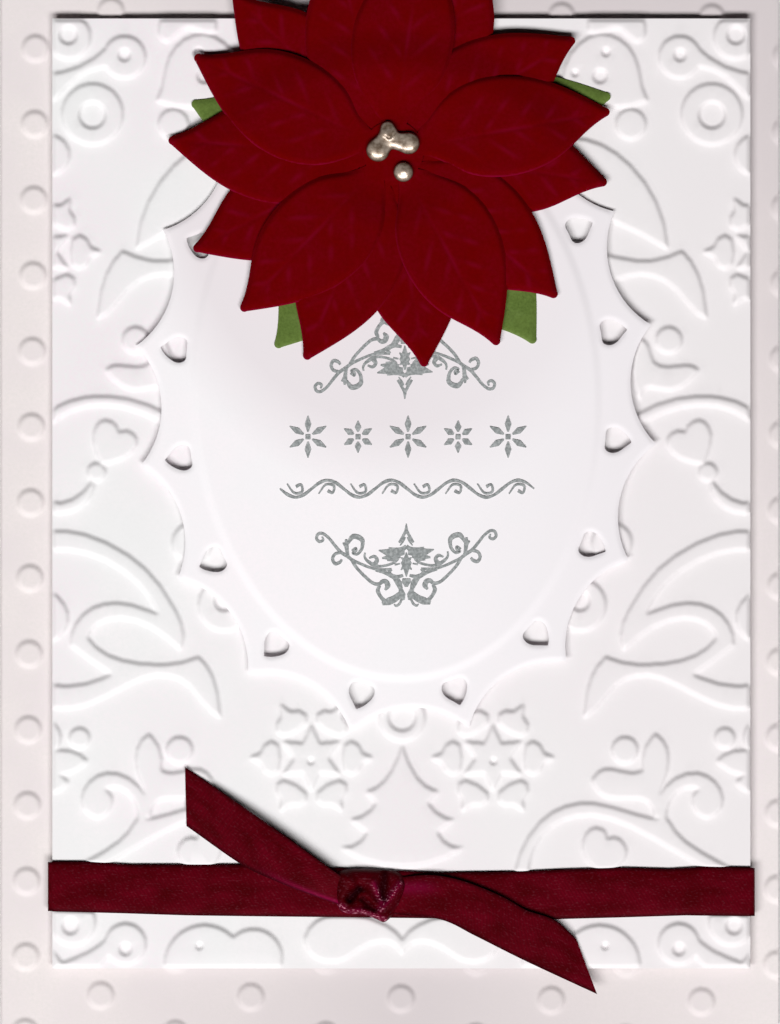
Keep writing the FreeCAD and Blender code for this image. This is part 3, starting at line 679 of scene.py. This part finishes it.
def petalFrame(p, layer):
    # The petal that a place belongs to: how far along it, across it (left is positive),
    # the share of its half width, and the distance from the flower's middle.
    dx = p[:, 0] - label["x"] - layer["middle"][0]
    dy = p[:, 1] - label["y"] - layer["middle"][1]
    step = 2 * math.pi / flower["petals"]
    turn = np.arctan2(dy, dx) - math.radians(layer["first"])
    turn = turn - step * np.round(turn / step)
    reach = np.hypot(dx, dy)
    along, across = reach * np.cos(turn), reach * np.sin(turn)
    station = along / flower["length"]
    left = np.interp(station, flower["stations"], flower["leftHalf"])
    right = np.interp(station, flower["stations"], flower["rightHalf"])
    share = np.clip(np.where(across > 0, across / left, -across / right), 0.0, 1.2)
    return along, across, share, reach


def makePetals(layer, number, flat, material):
    # A sheet that is flat in the middle and rises outside it, each petal a low dome with a pressed
    # midrib, slanting veins and a rim rolled down. Past the label the petals droop to the panel.
    z = level["petals"] + number * flower["stock"]
    places, edges = rimOf(layer["node"], z + 0.1, z + 10)
    low, high = places.min(axis=0) - 0.5, places.max(axis=0) + 0.5
    inside = fillRim(places, edges, low, high, flower["cell"])
    near, line, wide = (soften(inside, flower[key]) for key in ("insetMm", "lineMm", "rimMm"))
    slope = math.tan(math.radians(layer["rise"]))

    def veins(along, across, share):
        # How near a place is to a vein, which lean outwards from the midrib.
        phase = (along - np.abs(across) * flower["veinLean"]) / flower["veinPitch"]
        ridge = np.cos(2 * math.pi * phase) * 0.5 + 0.5
        return ridge ** 8 * smoothStep(share, 0.02, 0.15) * (1 - smoothStep(share, 0.5, 0.8))

    def underHeight(p):
        along, across, share, reach = petalFrame(p, layer)
        station = along / flower["length"]
        dish = z + slope * np.maximum(reach - flat, 0.0)
        dish = dish + number * flower["lift"] * smoothStep(reach, 4.7, 11.0)
        droop = flower["droop"] * smoothStep(-plateauDepth(p), 5.0, 11.0)
        droop = droop + layer["tipDroop"] * smoothStep(station, 0.55, 1.05)
        grown = smoothStep(station, 0.16, 0.42)
        dome = flower["dome"] * grown * (1 - share ** 2)
        rib = -flower["rib"] * np.exp(-(across / flower["ribWidth"]) ** 2)
        vein = flower["vein"] * veins(along, across, share)
        fade = grown * (1 - smoothStep(station, 0.88, 0.98))
        drop = flower["rimDropMm"] * (1 - smoothStep(readRaster(wide, p), 0.5, 1.0))
        drop = drop * smoothStep(reach, 3.0, 8.0) * (1.0 if number else 0.4)
        return dish - droop + dome + (rib + vein) * fade - drop

    fine = gridPoints(low, high, layer["step"])
    fine = fine[readRaster(near, fine) > 0.9]
    verts, faces = closedSheet(places, edges, fine, lambda p: underHeight(p) + flower["stock"],
                               underHeight, inside)
    # Painted highlight: the cut shows paler along the edges that face the light, and the midrib and veins
    # show faintly paler.
    along, across, share, reach = petalFrame(verts, layer)
    up, side = (readRaster(dict(near, grid=grid), verts[:, :2]) for grid in np.gradient(wide["grid"]))
    facing = np.clip((up + 0.35 * side) / (np.hypot(up, side) + 1e-6), 0, 1)
    rim = (1 - smoothStep(readRaster(line, verts[:, :2]), 0.5, 0.9)) * facing
    station = along / flower["length"]
    begun = smoothStep(station, 0.2, 0.4)
    middle = np.exp(-(across / 0.25) ** 2) * begun * (1 - smoothStep(station, 0.75, 0.92))
    broken = 0.55 + 0.45 * np.sin(0.7 * along + 1.9 * across + 2.1 * layer["first"])
    veinHighlight = (0.14 * middle + 0.12 * veins(along, across, share) * begun) * broken
    values = {"edge": np.maximum(0.38 * rim * smoothStep(reach, 3.5, 9.0), veinHighlight)}
    addPiece(layer["node"] + "_pressed", verts, faces, material, layer["node"], values, sharp=45.0)


def makeFlower(red, green):
    flats = [flower["seat"]]
    for lower, upper in zip(layers[-2::-1], layers[:0:-1]):
        flats.insert(0, flats[0] + math.dist(lower["middle"], upper["middle"]) + flower["margin"])
    for number, (layer, flat) in enumerate(zip(layers, flats)):
        makePetals(layer, number, flat, red if number else green)


pearls = {
    "pearl_drop_cluster": [(-0.62, 2.4, 1.25, 1.4), (-2.05, 0.15, 1.6, 1.3), (2.1, 1.05, 1.5, 1.25),
                           (-1.2, 1.25, 1.25, 1.05), (0.9, 1.25, 1.2, 1.0), (-0.1, 1.4, 1.1, 1.0),
                           (-0.75, 3.15, 0.9, 0.9), (-0.5, 1.9, 0.45, 1.5)],
    "pearl_drop_single": [(1.38, -2.83, 1.35, 1.15), (1.45, -2.7, 0.5, 1.3)]}
paint = {"blend": 3.6, "power": 0.28, "around": 160, "outward": 40}


def makeDrops(node, caps, material):
    # Drops that ran together: the field is the smooth maximum of 1 - (distance / radius)^2 over
    # the drops, the rim is where it is nought, and the height is a power of it times the drop's.
    caps = np.array(caps)
    middle = caps[:, :2].mean(axis=0)
    turn = np.linspace(0, 2 * math.pi, paint["around"], endpoint=False)[:, None]

    def field(x, y):
        caps3 = caps[:, :, None, None]
        value = 1 - ((x - caps3[:, 0]) ** 2 + (y - caps3[:, 1]) ** 2) / caps3[:, 2] ** 2
        weight = np.exp(paint["blend"] * value)
        tall = (weight * caps3[:, 3]).sum(axis=0) / weight.sum(axis=0)
        return np.log(weight.sum(axis=0)) / paint["blend"], tall

    reach = np.linspace(0.2, 6, 400)[None, :]
    value, tall = field(middle[0] + reach * np.cos(turn), middle[1] + reach * np.sin(turn))
    rim = reach[0][value.shape[1] - 1 - np.argmax(value[:, ::-1] > 0, axis=1)][:, None]
    rim = (rim + np.roll(rim, 1) + np.roll(rim, -1)) / 3
    share = np.sin(np.linspace(0, 0.5 * math.pi, paint["outward"])[1:])[None, :]
    x = middle[0] + rim * share * np.cos(turn)
    y = middle[1] + rim * share * np.sin(turn)
    value, tall = field(x, y)
    z = tall * np.clip(value, 0, 1) ** paint["power"]
    z[:, -1] = 0.0
    peak, tallest = field(np.full((1, 1), middle[0]), np.full((1, 1), middle[1]))
    top = float(tallest[0, 0] * np.clip(peak[0, 0], 0, 1) ** paint["power"])
    shift = np.array([label["x"] + layers[-1]["middle"][0], label["y"] + layers[-1]["middle"][1],
                      level["pearls"]])
    rows, columns = x.shape
    verts = np.stack([x, y, z], axis=-1).reshape(-1, 3)
    verts = np.concatenate([verts, [[middle[0], middle[1], top], [middle[0], middle[1], 0.0]]]) + shift
    ring = np.arange(rows)
    after = (ring + 1) % rows
    fan = np.column_stack([np.full(rows, rows * columns), ring * columns, after * columns])
    under = np.column_stack([np.full(rows, rows * columns + 1), after * columns + columns - 1,
                             ring * columns + columns - 1])
    skin = gridFaces(rows, columns, closeRows=True)[:, ::-1]
    addPiece(node + "_paint", verts, [skin, fan, under], material, node, sharp=70.0)


ribbon = {"thickness": 0.15, "bend": 0.45, "frontRows": 240, "backRows": 60, "columns": 29, "root": 2.95,
          "bandTopPx": [(48, 862), (87, 862), (130, 865), (241, 865), (352, 869), (440, 873), (520, 872),
                        (561, 870), (619, 868), (669, 869.5), (706, 867), (753, 868)],
          "bandLowPx": [(48, 911), (124, 913), (186, 915), (260, 916), (352, 917), (440, 918), (551, 919),
                        (623, 917), (685, 915), (756, 916)]}
# The streak of sheen: where across the tail, how wide, how strong at the knot, how long.
tails = {
    "left": {"upperPx": [(347, 880), (331, 869), (259.5, 818), (185, 767)],
             "lowerPx": [(346, 907), (309, 894), (276, 881), (241, 864), (186.5, 826)],
             "rest": level["reliefTop"] + 0.12, "arch": 1.1, "curl": 0.12, "streak": (0.93, 0.08, 0.4, 0.75)},
    "right": {"upperPx": [(394, 878), (430, 875), (463, 881), (501, 896), (526, 910), (554, 920), (576, 939)],
              "lowerPx": [(394, 914), (441, 919.5), (476, 936), (526, 961), (597, 994)],
              "rest": level["bandTop"] + 0.12, "arch": 0.55, "curl": 0.1, "streak": (0.3, 0.14, 0.2, 0.25)}}


def addStrip(name, top, sheen, material, closed=False):
    # A strip of cloth from a grid of places: rows along it, columns across it. Its underside
    # is the same grid moved against the surface's normal by the cloth's thickness.
    rows, columns = top.shape[:2]
    if closed:
        along = np.roll(top, -1, axis=0) - np.roll(top, 1, axis=0)
    else:
        along = np.gradient(top, axis=0)
    normal = np.cross(along, np.gradient(top, axis=1))
    normal /= np.maximum(np.linalg.norm(normal, axis=2, keepdims=True), 1e-9)
    under = top - normal * ribbon["thickness"]
    count = rows * columns
    verts = np.concatenate([top.reshape(-1, 3), under.reshape(-1, 3)])
    skin = gridFaces(rows, columns, closeRows=closed)
    faces = [skin[:, ::-1], skin + count]
    i, j = np.arange(rows if closed else rows - 1), np.arange(columns - 1)
    sides = [(i * columns + k, (i + 1) % rows * columns + k, k > 0) for k in (0, columns - 1)]
    if not closed:
        sides += [(k * columns + j, k * columns + j + 1, k == 0) for k in (0, rows - 1)]
    for a, b, flip in sides:
        wall = np.column_stack([a, b, b + count, a + count])
        faces.append(wall[:, ::-1] if flip else wall)
    # The strip is darker along both its edges.
    darkening = 0.75 * smoothStep(np.abs(np.linspace(-1, 1, columns)), 0.84, 0.98) + np.zeros((rows, 1))
    values = {"cloth": np.tile(clothPlaces(top).reshape(-1, 3), (2, 1)), "sheen": np.tile(sheen.ravel(), 2),
              "glint": np.full(len(verts), 0.025), "darkening": np.tile(darkening.ravel(), 2)}
    addPiece(name, verts, faces, material, "ribbon", values, sharp=50.0)


def clothPlaces(top):
    # Where each point lies on the flat cloth: mm along it and across it.
    along = np.linalg.norm(np.diff(top, axis=0), axis=2).mean(axis=1)
    along = np.concatenate([[0.0], np.cumsum(along)])[:, None] + 0 * top[:, :, 0]
    across = np.linalg.norm(np.diff(top, axis=1), axis=2)
    across = np.concatenate([np.zeros((len(top), 1)), np.cumsum(across, axis=1)], axis=1)
    return np.stack([along, across, 0 * along], axis=-1)


def makeBand(material):
    # A closed loop round the panel. Its section is a rectangle with round corners, and its
    # two edges follow the photograph along the front.
    bend, rows, columns = ribbon["bend"], ribbon["frontRows"], ribbon["columns"]
    left, right = panelLow[0] - bend, panelHigh[0] + bend
    high, low = level["bandTop"], level["panelBase"] - ribbon["thickness"]
    turn = np.linspace(0, math.pi / 2, 7)[1:-1]
    sine, cosine = bend * np.sin(turn), bend * np.cos(turn)
    front = np.linspace(left + bend, right - bend, rows)
    back = np.linspace(right - bend, left + bend, ribbon["backRows"])
    x = np.concatenate([front, right - bend + sine, [right, right], right - bend + cosine, back,
                        left + bend - sine, [left, left], left + bend - cosine])
    z = np.concatenate([np.full(rows, high), high - bend + cosine, [high - bend, low + bend],
                        low + bend - sine, np.full(len(back), low), low + bend - cosine,
                        [low + bend, high - bend], high - bend + sine])
    upper, lower = (onCard(ribbon[key]) for key in ("bandTopPx", "bandLowPx"))
    v = np.linspace(0, 1, columns)[None, :]
    y = np.interp(x, *upper.T)[:, None] * (1 - v) + np.interp(x, *lower.T)[:, None] * v
    swell = 0.05 * np.sin(x[:, None] * 0.21) * np.sin(math.pi * v) - 0.2 * (2 * v - 1) ** 6
    onFront = (np.arange(len(x)) < rows)[:, None]
    shape = np.stack([x[:, None] + 0 * v, y, z[:, None] + onFront * swell], axis=-1)
    addStrip("ribbon_band", shape, np.zeros((len(x), columns)), material, closed=True)


def makeTail(side, tail, material):
    # A tail between its two edges in the photograph. It leaves the knot high, arches and comes
    # down at its cut end: z = root to rest in a straight line + 4 x arch x s x (1 - s).
    rows, columns = 110, 25
    upper, lower = (smoothPath(onCard(tail[key]), rows) for key in ("upperPx", "lowerPx"))
    v = np.linspace(0, 1, columns)[None, :, None]
    flat = upper[:, None, :] * (1 - v) + lower[:, None, :] * v
    s = np.linspace(0, 1, rows)[:, None]
    z = ribbon["root"] * (1 - s) + tail["rest"] * s + 4 * tail["arch"] * s * (1 - s)
    z = z + tail["curl"] * np.sin(math.pi * v[:, :, 0]) * (0.3 + 0.7 * s) + ribbon["thickness"]
    shape = np.concatenate([flat, z[:, :, None]], axis=2)
    across, width, strength, reach = tail["streak"]
    sheen = strength * np.exp(-((v[:, :, 0] - across) / width) ** 2) * (1 - smoothStep(s, 0.1, reach))
    addStrip("ribbon_tail_" + side, shape, sheen, material)


knot = {"outlinePx": [(338, 872), (352, 869), (366, 869), (382, 870), (398, 872), (406, 882), (405, 897),
                      (398, 909), (391, 917), (384, 922), (376, 919), (366, 915), (352, 914), (341, 911),
                      (336, 900), (335, 886)],
        "height": 1.2, "floor": 0.15, "cell": 0.04, "nearMm": 0.35, "wideMm": 0.9, "step": 0.11,
        "places": 20,
        "rollsPx": [((341, 872), (374, 903), 4.5, 0.35), ((341, 911), (364, 911), 3.5, 0.4),
                    ((364, 911), (386, 920), 3.5, 0.45), ((401, 883), (381, 911), 3.2, 0.45),
                    ((373, 880), (382, 900), 3.2, 0.3)],
        "hollowsPx": [((350, 898), (359, 888), 4.5, 1.3), ((385, 873), (383, 896), 6.0, 0.9),
                      ((362, 898), (374, 908), 3.2, 0.7), ((406, 892), (391, 911), 3.5, 0.5)],
        "glintsPx": [((374, 884), (382, 902)), ((400, 883), (380, 909)), ((342, 913), (360, 911)),
                     ((360, 911), (385, 920)), ((330, 901), (344, 908))]}


def toSegment(p, start, end):
    # The distance from each place to a straight stretch.
    along = end - start
    share = np.clip(((p - start) @ along) / (along @ along), 0, 1)
    return np.linalg.norm(p - start - share[:, None] * along, axis=1)


def bell(p, start, end, width):
    # A bell curve of each place's distance from a line given in pixels.
    away = toSegment(p, onCard(start), onCard(end)) / (width * photo["mmPerPx"])
    return np.exp(-away ** 2)


def makeKnot(material):
    # A low bulge of wrapped ribbon: its body rises from the outline, soft rolls of cloth lie on
    # it and dark hollows part them, each a bell curve of its distance from a line.
    outline = onCard(knot["outlinePx"])
    every = knot["places"]
    loop = smoothPath(np.concatenate([outline[-2:], outline, outline[:2]]), every * (len(outline) + 3) + 1)
    loop = loop[every:-2 * every]
    edges = ringEdges(len(loop))
    low, high = loop.min(axis=0) - 0.5, loop.max(axis=0) + 0.5
    inside = fillRim(loop, edges, low, high, knot["cell"])
    near, wide = soften(inside, knot["nearMm"]), soften(inside, knot["wideMm"])

    def topHeight(p):
        body = 0.4 * smoothStep(readRaster(near, p), 0.5, 1.0) ** 0.5
        body = body + 0.6 * smoothStep(readRaster(wide, p), 0.35, 1.0)
        z = knot["height"] * body
        for start, end, width, rise in knot["rollsPx"]:
            z = z + rise * body * bell(p, start, end, width)
        for start, end, width, depth in knot["hollowsPx"]:
            z = z - depth * body * bell(p, start, end, width)
        floor = knot["floor"] * smoothStep(readRaster(near, p), 0.5, 0.9)
        return level["bandTop"] + 0.1 + np.maximum(z, floor)

    inner = gridPoints(low, high, knot["step"])
    inner = inner[readRaster(soften(inside, 0.08), inner) > 0.9]
    verts, faces = closedSheet(loop, edges, inner, topHeight, level["bandTop"] - 0.02, inside)
    # Painted light: near-black shade over the knot and deeper in its hollows, and painted glints and sheen
    # along its creases.
    glint, sheen, darkening = np.full(len(verts), 0.04), np.zeros(len(verts)), np.full(len(verts), 0.25)
    for start, end in knot["glintsPx"]:
        glint = np.maximum(glint, bell(verts[:, :2], start, end, 2.1))
        sheen = np.maximum(sheen, 0.3 * bell(verts[:, :2], start, end, 3.0))
    for start, end, width, depth in knot["hollowsPx"]:
        darkening = np.maximum(darkening, min(depth, 1.0) * bell(verts[:, :2], start, end, 0.9 * width))
    values = {"cloth": verts.copy(), "glint": glint, "sheen": sheen, "darkening": darkening}
    addPiece("ribbon_knot", verts, faces, material, "ribbon", values, sharp=60.0)


ink = {"height": 0.012, "lift": 0.006, "step": 0.0007, "lean": 0.0157, "flipPx": 461.3,
       "lowerPx": 406.3, "upperPx": 404.8}

# The right half of the lower ornament: each stroke's places in pixels and its widths along it.
ornamentStrokes = [
    ([(406.3, 523.5), (406.3, 529), (406.3, 534)], [1.0, 3.4, 4.5]),
    ([(406.8, 531), (410, 537), (413.5, 542.5)], [3.0, 3.0, 2.4]),
    ([(407.5, 537), (409.5, 541), (412.5, 545.5)], [2.0, 2.4, 1.2]),
    ([(406.3, 546), (410, 549), (416, 549.5), (424, 547.3)], [3.5, 5.0, 4.5, 1.2]),
    ([(408, 553), (416, 552.5), (424, 552), (434, 549.5)], [4.0, 8.0, 8.0, 1.0]),
    ([(412, 556), (422, 556.5), (430.5, 557.5)], [4.0, 6.5, 1.5]),
    ([(414, 557.5), (420, 559.5), (425.5, 560)], [3.0, 3.0, 1.0]),
    ([(406.3, 552.5), (406.3, 558), (406.3, 563), (406.3, 569), (406.3, 577)], [1.2, 5.0, 11.0, 6.0, 0.8]),
    ([(407, 565), (411.8, 569.8)], [6.0, 0.8]),
    ([(407, 561), (411.5, 557.5)], [6.0, 0.8]),
    ([(414.5, 559), (419, 562.5), (427, 565), (434, 565.5), (440, 563.5), (446, 559), (448, 555),
      (447.5, 551.5)], [2.2, 2.6, 2.4, 2.8, 4.0, 2.8, 2.2, 1.8]),
    ([(437.5, 563), (435.5, 559), (438.5, 555.5), (443.5, 557)], [5.0, 3.6, 3.2, 1.8]),
    ([(412.5, 563.5), (418, 564.5)], [1.4, 2.0]),
    ([(421, 568.8), (428, 569), (436, 568.5), (444, 566), (452, 562.5), (460, 558.5), (466, 554), (472, 550),
      (478, 543), (484, 535.5), (490, 531), (494.5, 531.5), (496, 536), (493, 539), (489.5, 537.5),
      (490.5, 534)],
     [2.4, 2.6, 2.6, 2.6, 2.8, 3.0, 3.6, 3.4, 3.0, 2.8, 3.0, 3.0, 3.0, 3.0, 2.6, 1.6]),
    ([(421, 569), (423.5, 572), (420, 576)], [2.4, 3.4, 3.6]),
    ([(437, 569.5), (428, 572), (420, 576), (414, 578)], [2.2, 3.4, 4.6, 5.0]),
    ([(409.5, 575.5), (416, 577)], [2.6, 4.0]),
    ([(418, 577), (414, 583), (411.5, 590)], [5.0, 6.5, 3.6]),
    ([(406.3, 578.5), (406.3, 582), (406.3, 587)], [8.0, 9.0, 3.0]),
    ([(412, 589), (410.5, 595), (409, 600)], [4.0, 7.0, 2.4]),
    ([(411, 599), (413, 603.5), (416.5, 605.8), (418.5, 604)], [2.2, 2.6, 2.2, 1.2]),
    ([(412, 594), (418, 598.5), (424, 601), (430.5, 603)], [6.0, 7.0, 7.5, 3.4]),
    ([(428, 600.5), (432, 596), (434.8, 590), (433, 585)], [4.0, 3.4, 4.0, 3.0]),
    ([(461, 558), (457, 565), (452, 571), (446, 577), (440, 582), (434, 583.5), (430, 580.8), (426.5, 581.5),
      (425, 585.5), (427.5, 589.5)], [3.4, 3.0, 2.8, 3.0, 3.0, 3.4, 4.0, 5.0, 5.5, 2.0]),
    ([(471, 550.5), (477.5, 552), (480, 557), (477.5, 561.5), (473, 560.5), (470.8, 557.8)],
     [2.6, 3.0, 3.0, 3.4, 3.2, 2.2]),
    ([(464.5, 555), (465.5, 550), (466.2, 543), (466.5, 537.5)], [3.0, 3.4, 4.4, 2.0]),
    ([(466.5, 545), (469.5, 541)], [3.0, 1.8]),
    ([(460.5, 549.5), (457, 547), (456.5, 549.5), (460, 551.5), (455.5, 552.8), (451.3, 548.5), (450, 543),
      (450.5, 539), (454, 536), (459, 535), (462, 537.5), (464.5, 542)],
     [2.6, 2.6, 2.2, 2.0, 2.6, 3.0, 3.6, 4.6, 5.0, 5.0, 4.0, 2.2]),
]


def printPlace(point, axis, turnX, turnY):
    # A place of the lower ornament, mirrored left or up, with the print's slight lean.
    across = point[0] - ink["lowerPx"]
    up = point[1] - ink["flipPx"] + ink["lean"] * across
    return (axis + turnX * across, ink["flipPx"] + turnY * up - ink["lean"] * turnX * across)


def strokeMesh(points, widths, number):
    # A flat stroke: a smooth line with a width that grows and shrinks along it, and a thickness.
    path = smoothPath(onCard(points), 8 * len(points))
    share = np.linspace(0, len(widths) - 1, len(path))
    half = np.interp(share, np.arange(len(widths)), widths)[:, None] * photo["mmPerPx"] / 2
    along = np.gradient(path, axis=0)
    along /= np.maximum(np.linalg.norm(along, axis=1, keepdims=True), 1e-9)
    aside = np.column_stack([-along[:, 1], along[:, 0]]) * half
    ring = np.stack([path + aside, path - aside], axis=1)
    low = level["plateauTop"] + ink["lift"] + number * ink["step"]
    bottom = np.concatenate([ring, np.full(ring.shape[:2] + (1,), low)], axis=2)
    top = bottom + np.array([0, 0, ink["height"]])
    verts = np.concatenate([top[:, 0], top[:, 1], bottom[:, 1], bottom[:, 0]])
    count = len(path)
    i = np.arange(count - 1)
    faces = []
    for side in range(4):
        a, b = side * count, ((side + 1) % 4) * count
        faces.append(np.column_stack([a + i, b + i, b + i + 1, a + i + 1]))
    for end in (0, count - 1):
        cap = np.array([[end, count + end, 2 * count + end, 3 * count + end]])
        faces.append(cap if end else cap[:, ::-1])
    return verts, np.concatenate(faces)


# Where the card had words: a row of small rosettes over a running scroll, drawn afresh.
filler = {"rosettes": 5, "firstPx": (308, 437), "pitchPx": 50, "petals": 6, "corePx": 5, "reachPx": (21, 16),
          "scrollPx": (280, 254, 489), "wavePx": 8.5, "halfWaves": 8, "curls": 8, "curlPx": (296, 31.7)}


def makeInk(material):
    strokes = []
    for points, widths in ornamentStrokes:
        for turnX in (1, -1):
            for axis, turnY in ((ink["lowerPx"], 1), (ink["upperPx"], -1)):
                strokes.append(([printPlace(p, axis, turnX, turnY) for p in points], widths))
    for number in range(filler["rosettes"]):
        x, y = filler["firstPx"][0] + filler["pitchPx"] * number, filler["firstPx"][1]
        reach = filler["reachPx"][number % 2]
        for petal in range(filler["petals"]):
            turn = petal * math.pi / 3 + math.pi / 6
            strokes.append(([(x + r * math.cos(turn), y + r * math.sin(turn))
                             for r in (filler["corePx"], reach * 0.6, reach)], [1.5, 6.5, 0.8]))
        strokes.append(([(x - 2.5, y), (x + 2.5, y)], [5.0, 5.0]))
    left, length, middle = filler["scrollPx"]
    wave = np.linspace(0, 1, 33)
    swing = filler["wavePx"] * np.sin(wave * filler["halfWaves"] * math.pi)
    line = np.column_stack([left + length * wave, middle + swing])
    strokes.append((line.tolist(), [1.5] + [3.2, 2.4] * 15 + [1.2]))
    first, pitch = filler["curlPx"]
    for number in range(filler["curls"]):
        x, sign = first + pitch * number, 1 if number % 2 else -1
        curl = [(x + dx, middle + dy * sign) for dx, dy in ((-9, 5), (-2, -4), (6, -3), (5, 4), (0, 2))]
        strokes.append((curl, [1.2, 2.2, 2.4, 2.2, 3.2]))
    verts, faces, start = [], [], 0
    for number, (points, widths) in enumerate(strokes):
        v, f = strokeMesh(points, widths, number)
        verts.append(v)
        faces.append(f + start)
        start += len(v)
    addPiece("printed_ornament", np.concatenate(verts), [np.concatenate(faces)], material, sharp=30.0)


def makeFloor():
    # A plain pale table, a hair under the card.
    material, tree = newMaterial("table_pale")
    finishMaterial(tree, {"Base Color": hexColour("#e9e6e4"), "Roughness": 0.8}, {})
    half, z = 1500.0, -0.05
    mesh = bpy.data.meshes.new("table")
    corners = np.array([(-half, -half, z), (half, -half, z), (half, half, z), (-half, half, z)]) * mm
    mesh.from_pydata(corners.tolist(), [], [(0, 1, 2, 3)])
    mesh.materials.append(material)
    table = bpy.data.objects.new("table", mesh)
    bpy.context.collection.objects.link(table)


bpy.context.scene.view_settings.view_transform = "Standard"
makeCamera()
makeLights()
makeWorld()
makeFloor()
print("stage: camera, lamps and table")
makeCardBase(baseCard)
print("stage: card base")
makePanel(panelCard)
print("stage: front panel")
makeLabel(labelCard)
print("stage: oval label")
makeFlower(redCard, greenCard)
print("stage: flower")
pearl = pearlMaterial()
for node, caps in pearls.items():
    makeDrops(node, caps, pearl)
print("stage: pearl drops")
satin = satinMaterial()
makeBand(satin)
for side, tail in tails.items():
    makeTail(side, tail, satin)
makeKnot(satin)
print("stage: ribbon")
makeInk(inkMaterial())
print("stage: print")
foam = foamMaterial()
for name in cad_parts:
    if name.startswith(("panel_pad", "label_pad")):
        pad = bpy.data.objects[name]
        pad.data.materials.clear()
        pad.data.materials.append(foam)
print("stage: foam")
